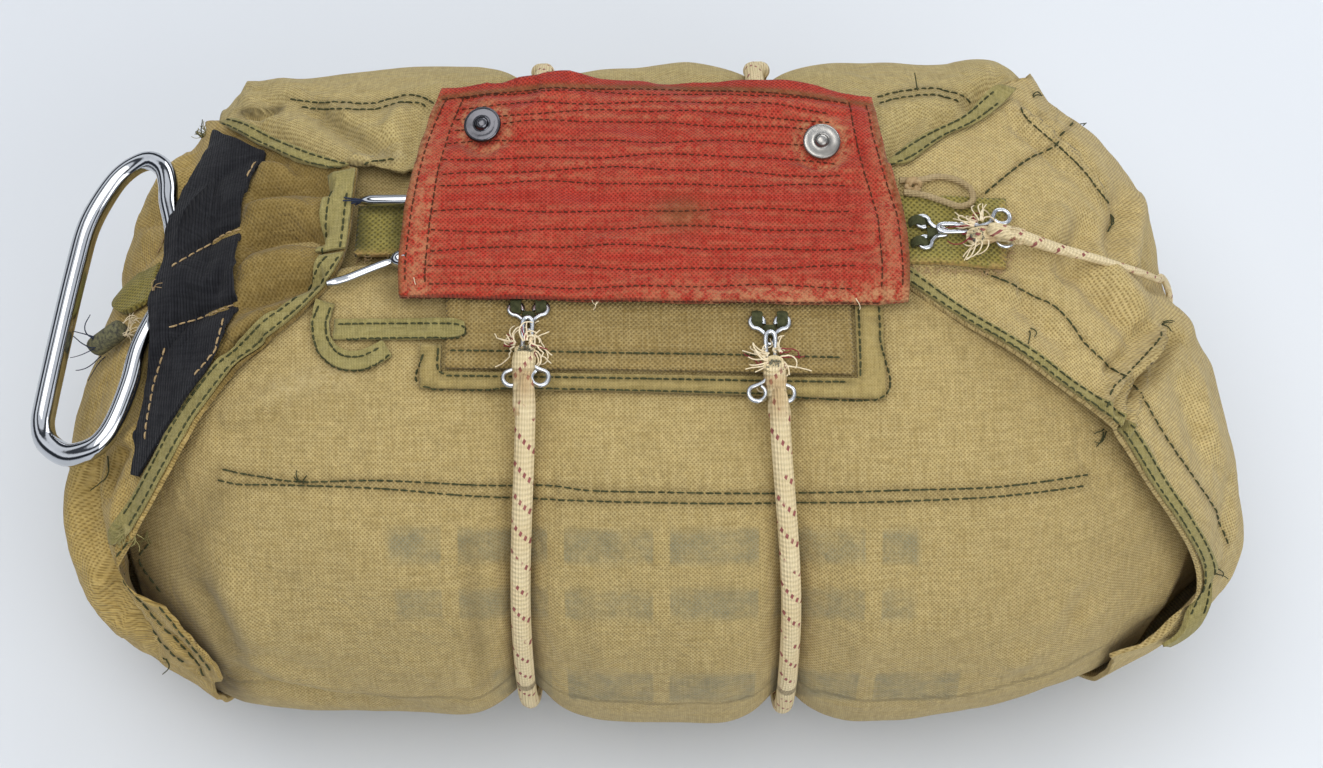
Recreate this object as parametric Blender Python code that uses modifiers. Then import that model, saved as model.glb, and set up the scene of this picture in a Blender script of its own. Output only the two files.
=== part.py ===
import math
import bpy
import bmesh
from mathutils import Vector
from mathutils.bvhtree import BVHTree

# Packed chest parachute, lying on its back with its closing flaps up.
# +X runs along the pack, +Y to the far side, +Z up from the face it rests on. Sizes in millimetres.
NAME = "packed_parachute"
MM = 0.001

# driving sizes
CLOTH = 1.5           # canvas of the flaps
TAPE = 1.1            # binding tapes and small patches
WEBBING = 1.6
PROTECTOR = 2.2       # the quilted red flap
SEAT = 0.5            # space between a piece and what carries it
BODY_INSET = 0.8      # the filled solid stays this far inside the skin that the cloth lies on
BAND = 7.0            # elastic cords round the pack
END_BAND = 5.6
HALF_WIDTH = 118.0    # of the pack, where they turn round its sides
ROD = 7.6             # ripcord grip
WIRE = 1.5            # hooks and eyes
BODY_MID = 65.0       # height of the pack's widest line
COLUMN = 13.0         # widest step across a flap
LAID_COLUMN = 11.0    # and across a smaller piece
LAYER_GAP = 0.8       # least space between two layers of cloth
LAID_LIFT = 0.3       # where a small piece starts above the skin
REACH = 30.0          # how far above a piece the search for what is under it starts
PROBES = (0.0, 0.25, 0.5, 0.75, 1.0)
HEM_HEIGHT = 9.0      # where the flaps start, above the base
CENTRE_X = 3.05       # brings the origin under the middle of the whole object
CENTRE_Y = 3.10

# A board leans over the pack, facing up and to the near side. Places on the cloth are laid out on it
# as (x, v), v running up the board, and are pressed straight onto the pack.
BOARD_TILT = math.radians(30.0)
BOARD_UP = Vector((0.0, math.cos(BOARD_TILT), math.sin(BOARD_TILT)))
BOARD_OUT = Vector((0.0, -math.sin(BOARD_TILT), math.cos(BOARD_TILT)))
UPWARD = Vector((0.0, 0.0, 1.0))

# the filled pack, a row for each section along X
SECTIONS = [
    # x      near   far   crown  low  round_near round_far
    (-196.0, -56.0, -6.0, 80.0, 42.0, 2.0, 2.0),
    (-192.0, -72.0, 24.0, 92.0, 29.0, 2.1, 2.1),
    (-182.0, -86.0, 54.0, 107.0, 14.0, 2.2, 2.3),
    (-166.0, -98.0, 80.0, 123.0, 4.0, 2.3, 2.5),
    (-142.0, -111.0, 101.0, 137.0, -3.0, 2.4, 2.8),
    (-110.0, -115.0, 107.0, 143.0, -5.0, 2.4, 3.0),
    (-55.0, -117.0, 108.0, 146.5, -6.0, 2.4, 3.1),
    (0.0, -119.0, 108.5, 147.5, -6.0, 2.4, 3.1),
    (55.0, -119.0, 109.0, 146.5, -6.0, 2.4, 3.1),
    (105.0, -115.0, 108.0, 143.0, -5.0, 2.4, 3.0),
    (141.0, -103.0, 95.0, 135.0, -3.0, 2.4, 2.6),
    (164.0, -93.0, 70.0, 119.0, 3.0, 2.3, 2.3),
    (176.5, -84.0, 39.0, 103.0, 12.0, 2.2, 2.2),
    (185.5, -74.0, 3.0, 88.0, 26.0, 2.1, 2.1),
    (192.5, -66.0, -28.0, 76.0, 40.0, 2.0, 2.0),
]

# elastics that run round the pack: place at the near and the far side
BANDS = {
    "left": {"near": -44.5, "far": -42.0, "top": (-43.5, 5.0)},
    "right": {"near": 41.0, "far": 34.0, "top": (35.5, 3.0)},
}
BAND_GROOVE = 9.5     # half width of the furrow that an elastic pulls
BAND_PULL = 3.0       # its depth on the top
FLANK_PULL = 13.0     # on the near and far sides
BASE_PULL = 14.6      # and under the base, where the elastic lies in it
BASE_TURN = 24.0      # height at which the furrow starts to deepen
# the ends are drawn in where an elastic crosses them: side, place along Y, depth
WAISTS = [(-1.0, 14.0, 6.0), (1.0, 26.0, 13.0)]
WAIST_WIDTH = 15.0
# hollows under the edges of the end flaps: x, v, half width, half height, depth
HOLLOWS = [(-163.0, -58.0, 22.0, 28.0, 8.0), (158.0, -62.0, 20.0, 26.0, 8.0)]


def smooth(value):
    value = min(max(value, 0.0), 1.0)
    return value * value * (3.0 - 2.0 * value)


def spline(rows, t):
    """Catmull-Rom reading of a table at t, where whole numbers are its rows."""
    last = len(rows) - 1
    i = min(int(math.floor(t)), last - 1)
    f = t - i
    a, b = rows[i], rows[i + 1]
    before = rows[i - 1] if i > 0 else tuple(2 * p - q for p, q in zip(a, b))
    after = rows[i + 2] if i + 2 <= last else tuple(2 * q - p for p, q in zip(a, b))
    out = []
    for p0, p1, p2, p3 in zip(before, a, b, after):
        out.append(0.5 * (2 * p1 + (p2 - p0) * f + (2 * p0 - 5 * p1 + 4 * p2 - p3) * f * f
                          + (3 * p1 - p0 - 3 * p2 + p3) * f ** 3))
    return out


def straight(rows, t):
    """Straight-line reading of a table at t."""
    i = min(int(math.floor(t)), len(rows) - 2)
    f = t - i
    return [p + (q - p) * f for p, q in zip(rows[i], rows[i + 1])]


def section_at(x):
    """The section table read at a place along X."""
    lo, hi = 0.0, float(len(SECTIONS) - 1)
    for _ in range(30):
        mid = 0.5 * (lo + hi)
        if spline(SECTIONS, mid)[0] < x:
            lo = mid
        else:
            hi = mid
    return spline(SECTIONS, 0.5 * (lo + hi))


def band_place(band, y):
    """Where an elastic crosses the pack at y."""
    share = min(max((y + 110.0) / 220.0, 0.0), 1.0)
    return band["near"] + (band["far"] - band["near"]) * share


def body_point(row, turn, hollowed):
    x, near, far, crown, low, round_near, round_far = row
    mid, half = 0.5 * (near + far), 0.5 * (far - near)
    c, s = math.cos(turn), math.sin(turn)
    height = crown - BODY_MID if s > 0 else BODY_MID - low
    power = round_far if c > 0 else round_near
    y = mid + half * math.copysign(abs(c) ** (2 / power), c)
    z = BODY_MID + height * math.copysign(abs(s) ** (2 / power), s)
    p = Vector((x, y, max(z, 0.0)))
    inward = (Vector((x * 0.8, 0.0, BODY_MID)) - p).normalized()
    for side, place, depth in WAISTS:
        pull = math.exp(-((y - place) / WAIST_WIDTH) ** 2) * smooth((x * side - 135.0) / 40.0)
        p += inward * (depth * pull * smooth((z - 6.0) / 20.0))
    if not hollowed:
        return p
    for band in BANDS.values():
        pull = math.exp(-((x - band_place(band, y)) / BAND_GROOVE) ** 2)
        under = smooth((BASE_TURN - z) / BASE_TURN)
        flat_inward = Vector((0.0, inward.y, inward.z)).normalized() if under < 1.0 else UPWARD
        depth = BAND_PULL + (FLANK_PULL - BAND_PULL) * smooth((abs(y - 2.0) - 72.0) / 36.0)
        p += flat_inward * (pull * (depth + (BASE_PULL - depth) * under))
    v = BOARD_UP.dot(p - Vector((0.0, 0.0, BODY_MID)))
    if BOARD_OUT.dot(p - Vector((0.0, 0.0, BODY_MID))) > 0:
        for hx, hv, wide, high, depth in HOLLOWS:
            p += inward * (depth * math.exp(-((x - hx) / wide) ** 2 - ((v - hv) / high) ** 2))
    return p


def body_net(stations, around, hollowed):
    """Points and faces of the pack's skin, closed at both ends."""
    points, faces = [], []
    for x in stations:
        row = section_at(x)
        points += [body_point(row, 2 * math.pi * k / around, hollowed) for k in range(around)]
    for i in range(len(stations) - 1):
        for k in range(around):
            a, b = i * around + k, i * around + (k + 1) % around
            faces.append((a, b, b + around, a + around))
    for end, side in ((0, 1), ((len(stations) - 1) * around, -1)):
        ring = points[end:end + around]
        points.append(sum(ring, Vector()) / around)
        hub = len(points) - 1
        for k in range(around):
            a, b = end + k, end + (k + 1) % around
            faces.append((hub, b, a) if side > 0 else (hub, a, b))
    return points, faces


def press_tree(hollowed):
    first, last = SECTIONS[0][0], SECTIONS[-1][0]
    mid, reach = 0.5 * (first + last), 0.5 * (last - first)
    count = 240
    stations = [mid - reach * math.cos(math.pi * i / count) for i in range(count + 1)]
    points, faces = body_net(stations, 120, hollowed)
    return BVHTree.FromPolygons(points, faces)


SKIN = press_tree(True)       # as the cloth next to it lies
TAUT = press_tree(False)      # bridging the furrows and hollows


def board(x, v, out=0.0):
    """A place on the board, or `out` in front of it."""
    return Vector((x, 0.0, BODY_MID)) + BOARD_UP * v + BOARD_OUT * out


def pressed(tree, x, v):
    hit = tree.ray_cast(board(x, v, 400.0), -BOARD_OUT)[0]
    return hit if hit else tree.find_nearest(board(x, v))[0]


def raising(normal):
    """The way in which cloth is raised: off the board where it faces it, off the pack elsewhere."""
    return (normal + BOARD_OUT * 2.5 * smooth(BOARD_OUT.dot(normal) / 0.7)).normalized()


def pulled(tree, p, core):
    """The point of the skin that lies beyond p as seen from the core."""
    away = (p - core).normalized()
    hit, normal, _, _ = tree.ray_cast(core + away * 500.0, -away)
    return hit, normal


# ---------------------------------------------------------------- scene and materials

for old in list(bpy.data.objects):
    bpy.data.objects.remove(old)

collection = bpy.data.collections.new(NAME)
bpy.context.scene.collection.children.link(collection)
shift = Vector((CENTRE_X, CENTRE_Y, 0.0))

FINISH = {
    # name            colour                 roughness metallic
    "canvas": ((0.44, 0.34, 0.16), 0.92, 0.0),
    "olive_tape": ((0.24, 0.22, 0.09), 0.90, 0.0),
    "olive_webbing": ((0.19, 0.17, 0.06), 0.88, 0.0),
    "red_canvas": ((0.42, 0.06, 0.04), 0.90, 0.0),
    "black_elastic": ((0.02, 0.02, 0.025), 0.85, 0.0),
    "cord_cover": ((0.72, 0.58, 0.42), 0.88, 0.0),
    "chrome": ((0.75, 0.76, 0.78), 0.12, 1.0),
    "steel": ((0.45, 0.45, 0.46), 0.30, 1.0),
}


def material(name):
    known = bpy.data.materials.get(name)
    if known:
        return known
    colour, roughness, metallic = FINISH[name]
    mat = bpy.data.materials.new(name)
    mat.use_nodes = True
    shader = mat.node_tree.nodes["Principled BSDF"]
    shader.inputs["Base Color"].default_value = (*colour, 1.0)
    shader.inputs["Roughness"].default_value = roughness
    shader.inputs["Metallic"].default_value = metallic
    return mat


def mesh_object(name, points, faces, finish):
    mesh = bpy.data.meshes.new(name)
    mesh.from_pydata([(p + shift) * MM for p in points], [], faces)
    mesh.update()
    mesh.shade_smooth()
    mesh.materials.append(material(finish))
    obj = bpy.data.objects.new(name, mesh)
    collection.objects.link(obj)
    return obj


# ---------------------------------------------------------------- cloth

def sheet(name, grid, thickness, finish):
    """A closed sheet on a grid of places: rows across, each row running from one edge to the other."""
    across, along = len(grid), len(grid[0])
    points = [p for row in grid for p in row]
    faces = []
    for i in range(across - 1):
        for k in range(along - 1):
            a = i * along + k
            faces.append((a, a + 1, a + along + 1, a + along))
    i, k = across // 2, along // 2
    middle = grid[i][k]
    facing = (grid[i][k - 1] - middle).cross(grid[i - 1][k] - middle)
    if facing.dot(middle - Vector((0.6 * middle.x, 0.0, BODY_MID))) < 0:
        faces = [tuple(reversed(face)) for face in faces]
    obj = mesh_object(name, points, faces, finish)
    thick = obj.modifiers.new("cloth", "SOLIDIFY")
    thick.thickness = thickness * MM
    thick.offset = 1.0
    thick.use_rim = True
    return obj


def spaced(run, count):
    """`count` places evenly along a run of (point, normal)."""
    reach = [0.0]
    for (p, _), (q, _) in zip(run, run[1:]):
        reach.append(reach[-1] + (q - p).length)
    out, j = [], 0
    for k in range(count):
        want = reach[-1] * k / (count - 1)
        while j < len(run) - 2 and reach[j + 1] < want:
            j += 1
        f = (want - reach[j]) / max(reach[j + 1] - reach[j], 1e-6)
        out.append((run[j][0].lerp(run[j + 1][0], f), run[j][1].lerp(run[j + 1][1], f).normalized()))
    return out


def solid_tree(*objects):
    """A search tree of finished solids, in millimetres, without the shift of the origin."""
    graph = bpy.context.evaluated_depsgraph_get()
    graph.update()
    points, faces = [], []
    for obj in objects:
        mesh = obj.evaluated_get(graph).to_mesh()
        mesh.calc_loop_triangles()
        first = len(points)
        points += [obj.matrix_world @ v.co / MM - shift for v in mesh.vertices]
        faces += [tuple(first + k for k in face.vertices) for face in mesh.loop_triangles]
    return BVHTree.FromPolygons(points, faces)


def lay_over(grid, normals, under, gap):
    """Raises a grid along its normals until it clears what lies under it."""
    for _ in range(4):
        rise = [[0.0] * len(grid[0]) for _ in grid]
        for i in range(len(grid) - 1):
            for k in range(len(grid[0]) - 1):
                corners = ((i, k), (i + 1, k), (i, k + 1), (i + 1, k + 1))
                for fu in PROBES:
                    for ff in PROBES:
                        shares = ((1 - fu) * (1 - ff), fu * (1 - ff), (1 - fu) * ff, fu * ff)
                        p = sum((grid[a][b] * w for (a, b), w in zip(corners, shares)), Vector())
                        n = sum((normals[a][b] * w for (a, b), w in zip(corners, shares)), Vector())
                        n.normalize()
                        hit = under.ray_cast(p + n * REACH, -n, REACH + gap)[0]
                        if not hit:
                            continue
                        short = gap - n.dot(p - hit)
                        for (a, b), w in zip(corners, shares):
                            if w > 0.05:
                                rise[a][b] = max(rise[a][b], short)
        for i, row in enumerate(grid):
            for k in range(len(row)):
                row[k] = row[k] + normals[i][k] * rise[i][k]
    return grid


class Flap:
    """A flap of cloth between its own edge on the board and its root at the base.

    rows: (x, v, over_x, over_v, root_x, root_y, lift) from one side of the flap to the other.
    """

    def __init__(self, rows, tree, core, rest, along, under, curl=0.3, lobes=()):
        self.rows = rows
        self.places, self.grid, self.normals = [], [], []
        for i in range(len(rows) - 1):
            wide = max(abs(q - p) for p, q in zip(rows[i][:6], rows[i + 1][:6]))
            steps = max(1, round(wide / COLUMN))
            self.places += [i + k / steps for k in range(steps)]
        self.places.append(float(len(rows) - 1))
        for place in self.places:
            x, v, over_x, over_v, root_x, root_y, stand = straight(rows, place)
            run = []
            for k in range(12):
                p = pressed(tree, x + (over_x - x) * k / 12, v + (over_v - v) * k / 12)
                run.append((p, tree.find_nearest(p)[1]))
            shoulder = pressed(tree, over_x, over_v)
            root = Vector((root_x, root_y, HEM_HEIGHT))
            run += [pulled(tree, shoulder.lerp(root, k / 12), core(x)) for k in range(13)]
            run = spaced(run, along)
            line = []
            for k, (p, n) in enumerate(run):
                lift = rest + (stand - rest) * (1 - smooth(k / (along - 1) / curl))
                height = BOARD_UP.dot(p - Vector((0.0, 0.0, BODY_MID)))
                for lobe_x, middle, wide, high, puff in lobes:
                    lift += puff * math.exp(-((p.x - lobe_x) / wide) ** 2 - ((height - middle) / high) ** 2)
                line.append(p + n * lift)
            self.grid.append(line)
            self.normals.append([n for _, n in run])
        lay_over(self.grid, self.normals, under, LAYER_GAP)

    def at(self, u, f, extra=0.0):
        """The place at row u and a share f down the flap, on its inner side plus `extra`."""
        i = max(k for k in range(len(self.places) - 1) if self.places[k] <= u + 1e-9)
        fu = (u - self.places[i]) / (self.places[i + 1] - self.places[i])
        place_f = f * (len(self.grid[0]) - 1)
        k = min(int(place_f), len(self.grid[0]) - 2)
        ff = place_f - k
        corners = ((i, k), (i + 1, k), (i, k + 1), (i + 1, k + 1))
        shares = ((1 - fu) * (1 - ff), fu * (1 - ff), (1 - fu) * ff, fu * ff)
        p = sum((self.grid[a][b] * w for (a, b), w in zip(corners, shares)), Vector())
        n = sum((self.normals[a][b] * w for (a, b), w in zip(corners, shares)), Vector()).normalized()
        return p + n * extra, n

    def length(self, u):
        column = min(zip(self.places, self.grid), key=lambda pair: abs(pair[0] - u))[1]
        return sum((q - p).length for p, q in zip(column, column[1:]))

    def edge_tape(self, name, first, last, width, steps, under, inset=0.4, gap=LAYER_GAP):
        """A tape sewn along the flap's edge, between two of its rows."""
        spots, normals = [], []
        for i in range(steps + 1):
            u = first + (last - first) * i / steps
            reach = self.length(u)
            line = [self.at(u, (inset + width * k / 2) / reach, CLOTH) for k in range(3)]
            spots.append([p for p, _ in line])
            normals.append([n for _, n in line])
        lay_over(spots, normals, under, gap)
        return sheet(name, spots, TAPE, "olive_tape")


def laid(name, rows, under, across, thickness, finish, upright=False):
    """Cloth between two edges drawn on the board, lying on what is under it: rows of (x, v, x, v)."""
    places = []
    for i in range(len(rows) - 1):
        wide = max(math.dist(rows[i][:2], rows[i + 1][:2]), math.dist(rows[i][2:], rows[i + 1][2:]))
        steps = max(1, round(wide / LAID_COLUMN))
        places += [i + k / steps for k in range(steps)]
    places.append(float(len(rows) - 1))
    grid, normals = [], []
    for place in places:
        x0, v0, x1, v1 = straight(rows, place)
        line, facing = [], []
        for k in range(across + 1):
            f = k / across
            p = pressed(TAUT, x0 + (x1 - x0) * f, v0 + (v1 - v0) * f)
            normal = BOARD_OUT if upright else raising(TAUT.find_nearest(p)[1])
            line.append(p + normal * LAID_LIFT)
            facing.append(normal)
        grid.append(line)
        normals.append(facing)
    lay_over(grid, normals, under, SEAT)
    return sheet(name, grid, thickness, finish)


def tape_run(name, path, width, under, thickness, finish, ends=1.0):
    """A tape along a path on the board; `ends` narrows its last stretch."""
    path = [Vector((*spot, 0.0)) for spot in path]
    rows = []
    for i, spot in enumerate(path):
        ahead = path[min(i + 1, len(path) - 1)] - path[max(i - 1, 0)]
        side = Vector((-ahead.y, ahead.x, 0.0)).normalized() * 0.5 * width
        side *= ends if i == len(path) - 1 else 1.0
        rows.append((spot.x - side.x, spot.y - side.y, spot.x + side.x, spot.y + side.y))
    return laid(name, rows, under, 2, thickness, finish)


# ---------------------------------------------------------------- cords and wire

def rod(name, route, thickness, finish, closed=False, sides=3):
    """A round bar, wire or cord along its route, with closed ends."""
    curve = bpy.data.curves.new(name, "CURVE")
    curve.dimensions = "3D"
    line = curve.splines.new("POLY")
    line.points.add(len(route) - 1)
    for point, p in zip(line.points, route):
        point.co = (*((p + shift) * MM), 1.0)
    line.use_cyclic_u = closed
    curve.bevel_depth = 0.5 * thickness * MM
    curve.bevel_resolution = sides
    curve.use_fill_caps = not closed
    curve.materials.append(material(finish))
    obj = bpy.data.objects.new(name, curve)
    collection.objects.link(obj)
    return obj


def rounded(points, spacing, closed=False):
    """A smooth run through hand-set points, read every `spacing`."""
    rows = [tuple(p) for p in points]
    if closed:
        rows = rows[-2:] + rows + rows[:3]
        lo, hi = 2.0, float(len(rows) - 3)
    else:
        lo, hi = 0.0, float(len(rows) - 1)
    fine = [Vector(spline(rows, lo + (hi - lo) * i / 400)) for i in range(401)]
    run = spaced([(p, Vector((0, 0, 1))) for p in fine],
                 max(int(sum((q - p).length for p, q in zip(fine, fine[1:])) / spacing), 4) + 1)
    out = [p for p, _ in run]
    return out[:-1] if closed else out


# ---------------------------------------------------------------- the filled pack

def inset(p):
    """Draws a point of the skin in a little, so that the flaps clear the solid's flat faces."""
    inward = (Vector((p.x * 0.85, 0.0, BODY_MID)) - p).normalized()
    return p if p.z < 1.0 else p + inward * BODY_INSET


def pack_body():
    stations = [-196, -194.5, -191, -185, -176, -166, -153, -139, -123, -106, -88, -70]
    stations += [-22, -4, 14, 60, 76, 92, 108, 123, 134, 142, 150, 158, 166, 174, 181, 186, 190, 192.5]
    for place in (-43.5, 37.5):
        stations += [place + step for step in (-13, -8.5, -4.5, -1, 2.5, 6.5, 11)]
    points, faces = body_net(sorted(stations), 38, True)
    points = [inset(p) for p in points]
    return mesh_object("pack_body", points, faces, "canvas")


body = pack_body()

# The flaps, a row for each line that runs down the cloth: x and v of the flap's own edge, x and v of a
# place on the shoulder that the line passes, place of its root at the base, how far the edge stands off.
UPPER_ROWS = [
    (-152.0, 86.0, -152.0, 89.0, -150.0, 96.0, 0.7),
    (-142.0, 79.0, -142.0, 92.0, -142.0, 100.0, 0.7),
    (-128.0, 71.0, -128.0, 98.0, -128.0, 104.0, 0.7),
    (-110.0, 66.0, -110.0, 98.0, -110.0, 104.0, 0.9),
    (-100.0, 70.0, -100.0, 98.0, -100.0, 104.0, 2.8),
    (-90.0, 70.5, -90.0, 98.0, -90.0, 104.0, 3.4),
    (-79.0, 67.5, -79.0, 98.0, -79.0, 104.0, 1.6),
    (-60.0, 66.0, -60.0, 98.0, -60.0, 104.0, 0.7),
    (-51.0, 66.0, -51.0, 98.0, -51.0, 104.0, 0.7),
    (-47.0, 66.0, -47.0, 98.0, -47.0, 104.0, 0.7),
    (-43.0, 66.0, -43.0, 98.0, -43.0, 104.0, 0.7),
    (-39.0, 66.0, -39.0, 98.0, -39.0, 104.0, 0.7),
    (-34.0, 66.0, -34.0, 98.0, -34.0, 104.0, 0.7),
    (-12.0, 66.0, -12.0, 98.0, -12.0, 104.0, 0.7),
    (10.0, 66.0, 10.0, 98.0, 10.0, 104.0, 0.7),
    (26.0, 66.0, 26.0, 98.0, 26.0, 104.0, 0.7),
    (31.0, 66.0, 31.0, 98.0, 31.0, 104.0, 0.7),
    (35.0, 66.0, 35.0, 98.0, 35.0, 104.0, 0.7),
    (39.0, 66.0, 39.0, 98.0, 39.0, 104.0, 0.7),
    (44.0, 66.0, 44.0, 98.0, 44.0, 104.0, 0.7),
    (60.0, 66.0, 60.0, 98.0, 60.0, 104.0, 0.7),
    (80.0, 69.0, 80.0, 98.0, 80.0, 104.0, 0.7),
    (100.0, 79.0, 100.0, 98.0, 100.0, 104.0, 0.7),
    (116.0, 89.0, 116.0, 97.0, 114.0, 104.0, 0.7),
    (126.0, 93.0, 126.0, 95.0, 122.0, 104.0, 0.7),
]
# cloth of the upper flap that puffs out past the end flaps: x, v, half width, half height, rise
UPPER_LOBES = [(-149.0, 104.0, 14.0, 10.0, 12.0), (114.0, 104.0, 12.0, 9.0, 10.0)]
LOWER_ROWS = [
    (-174.0, -42.0, -170.0, -66.0, -158.0, -86.0, 0.7),
    (-164.0, -30.0, -161.0, -66.0, -152.0, -90.0, 0.7),
    (-150.0, -14.0, -145.2, -60.0, -142.0, -94.0, 0.7),
    (-134.0, 6.0, -130.4, -60.0, -128.0, -96.0, 0.7),
    (-118.0, 24.0, -115.6, -60.0, -114.0, -97.0, 0.7),
    (-106.0, 36.0, -104.8, -60.0, -104.0, -97.0, 0.7),
    (-84.0, 38.0, -84.0, -60.0, -84.0, -97.0, 0.7),
    (-60.0, 38.0, -60.0, -60.0, -60.0, -97.0, 0.7),
    (-53.0, 38.0, -53.0, -60.0, -53.0, -97.0, 0.7),
    (-48.0, 38.0, -48.0, -60.0, -48.0, -97.0, 0.7),
    (-44.0, 38.0, -44.0, -60.0, -44.0, -97.0, 0.7),
    (-40.0, 38.0, -40.0, -60.0, -40.0, -97.0, 0.7),
    (-34.0, 38.0, -34.0, -60.0, -34.0, -97.0, 0.7),
    (-12.0, 38.0, -12.0, -60.0, -12.0, -97.0, 0.7),
    (10.0, 38.0, 10.0, -60.0, 10.0, -97.0, 0.7),
    (28.0, 38.0, 29.2, -60.0, 30.0, -97.0, 0.7),
    (33.5, 38.0, 35.0, -60.0, 36.0, -97.0, 0.7),
    (37.5, 38.0, 39.3, -60.0, 40.5, -97.0, 0.7),
    (41.5, 38.0, 43.6, -60.0, 45.0, -97.0, 0.7),
    (47.0, 38.0, 49.4, -60.0, 51.0, -97.0, 0.7),
    (62.0, 38.0, 63.2, -60.0, 64.0, -97.0, 0.7),
    (84.0, 36.0, 84.0, -60.0, 84.0, -97.0, 0.7),
    (102.0, 22.0, 100.8, -60.0, 100.0, -96.0, 0.7),
    (120.0, 8.0, 117.6, -60.0, 116.0, -94.0, 0.7),
    (136.0, -6.0, 132.4, -60.0, 130.0, -90.0, 0.7),
    (150.0, -22.0, 144.0, -60.0, 140.0, -86.0, 0.7),
    (164.0, -38.0, 159.0, -68.0, 148.0, -82.0, 0.7),
    (173.0, -50.0, 167.0, -68.0, 154.0, -78.0, 0.7),
]
LEFT_ROWS = [
    (-152.0, 88.0, -154.0, 86.0, -146.0, 94.0, 4.0),
    (-133.0, 81.0, -160.0, 78.0, -156.0, 84.0, 3.4),
    (-114.0, 71.5, -168.0, 68.0, -165.0, 68.0, 3.2),
    (-99.0, 67.0, -175.0, 56.0, -172.0, 50.0, 3.2),
    (-100.5, 53.0, -180.0, 42.0, -178.0, 30.0, 3.2),
    (-100.5, 40.0, -183.0, 30.0, -181.0, 14.0, 3.2),
    (-105.0, 30.0, -185.0, 20.0, -182.0, 2.0, 3.6),
    (-115.0, 18.5, -187.0, 8.0, -183.0, -10.0, 3.6),
    (-131.0, 7.0, -189.0, -4.0, -183.0, -22.0, 4.0),
    (-141.0, -8.0, -190.0, -16.0, -182.0, -32.0, 5.0),
    (-151.0, -30.5, -191.0, -32.0, -180.0, -44.0, 8.0),
    (-162.0, -48.0, -190.0, -46.0, -176.0, -55.0, 9.0),
    (-166.5, -57.0, -187.0, -58.0, -172.0, -64.0, 9.0),
    (-157.5, -65.5, -176.0, -71.0, -166.0, -72.0, 6.5),
    (-151.0, -75.0, -164.0, -80.0, -158.0, -80.0, 5.0),
    (-145.0, -84.0, -155.0, -87.0, -150.0, -84.0, 3.5),
    (-142.0, -93.5, -146.0, -94.5, -143.0, -89.0, 2.5),
]
RIGHT_ROWS = [
    (120.0, 98.0, 124.0, 97.0, 130.0, 98.0, 3.0),
    (110.0, 94.0, 134.0, 91.0, 142.0, 92.0, 3.0),
    (99.0, 84.5, 143.0, 84.0, 152.0, 83.0, 3.0),
    (86.0, 80.0, 152.0, 76.0, 160.0, 74.0, 3.0),
    (75.0, 71.0, 159.0, 67.0, 166.0, 62.0, 3.0),
    (66.0, 63.0, 165.0, 57.0, 171.0, 48.0, 3.0),
    (66.0, 42.0, 172.0, 36.0, 176.0, 22.0, 3.0),
    (76.0, 31.0, 175.0, 24.0, 179.0, 4.0, 3.0),
    (85.0, 24.5, 177.0, 14.0, 180.0, -6.0, 3.4),
    (98.5, 15.0, 180.0, 5.0, 181.0, -16.0, 4.0),
    (110.0, 7.5, 182.0, -4.0, 181.0, -24.0, 5.0),
    (121.0, -1.0, 184.0, -12.0, 180.0, -32.0, 6.0),
    (130.5, -8.0, 186.0, -20.0, 179.0, -40.0, 7.0),
    (138.0, -15.0, 187.0, -28.0, 177.0, -46.0, 8.0),
    (147.0, -30.5, 187.0, -37.0, 173.0, -54.0, 9.0),
    (157.5, -44.5, 185.0, -46.0, 170.0, -60.0, 10.0),
    (166.5, -56.0, 183.0, -56.0, 166.0, -66.0, 9.5),
    (168.5, -66.0, 178.0, -66.0, 160.0, -72.0, 8.5),
    (165.0, -76.0, 170.0, -76.0, 154.0, -77.0, 7.0),
    (156.0, -83.0, 159.0, -83.0, 148.0, -81.0, 4.0),
    (147.0, -87.5, 149.0, -87.5, 141.0, -84.0, 2.5),
]


def section_core(x):
    return Vector((x, -3.0, BODY_MID))


def left_core(_):
    return Vector((-118.0, -5.0, BODY_MID))


def right_core(_):
    return Vector((118.0, -5.0, BODY_MID))


upper = Flap(UPPER_ROWS, SKIN, section_core, 0.7, 13, solid_tree(body), lobes=UPPER_LOBES)
upper_flap = sheet("upper_flap", upper.grid, CLOTH, "canvas")
lower = Flap(LOWER_ROWS, SKIN, section_core, 0.7, 15, solid_tree(body))
lower_flap = sheet("lower_flap", lower.grid, CLOTH, "canvas")
wrapped = solid_tree(body, upper_flap, lower_flap)
left = Flap(LEFT_ROWS, TAUT, left_core, 3.0, 14, wrapped)
left_flap = sheet("left_flap", left.grid, CLOTH, "canvas")
right = Flap(RIGHT_ROWS, TAUT, right_core, 3.0, 15, wrapped)
right_flap = sheet("right_flap", right.grid, CLOTH, "canvas")


# ---------------------------------------------------------------- tapes and patches

cloth = [body, upper_flap, lower_flap, left_flap, right_flap]
bare = solid_tree(*cloth)
cloth += [
    left.edge_tape("left_tape_far", 0.6, 2.9, 8.0, 8, bare, inset=1.0, gap=1.0),
    left.edge_tape("left_tape_end", 3.05, 4.95, 10.0, 3, bare),
    left.edge_tape("left_tape_near", 5.1, 11.0, 8.0, 12, bare),
    right.edge_tape("right_tape_far", 1.0, 4.3, 8.0, 7, bare),
    right.edge_tape("right_tape_near", 6.6, 18.5, 7.0, 24, bare),
]
flaps = solid_tree(*cloth)

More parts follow.
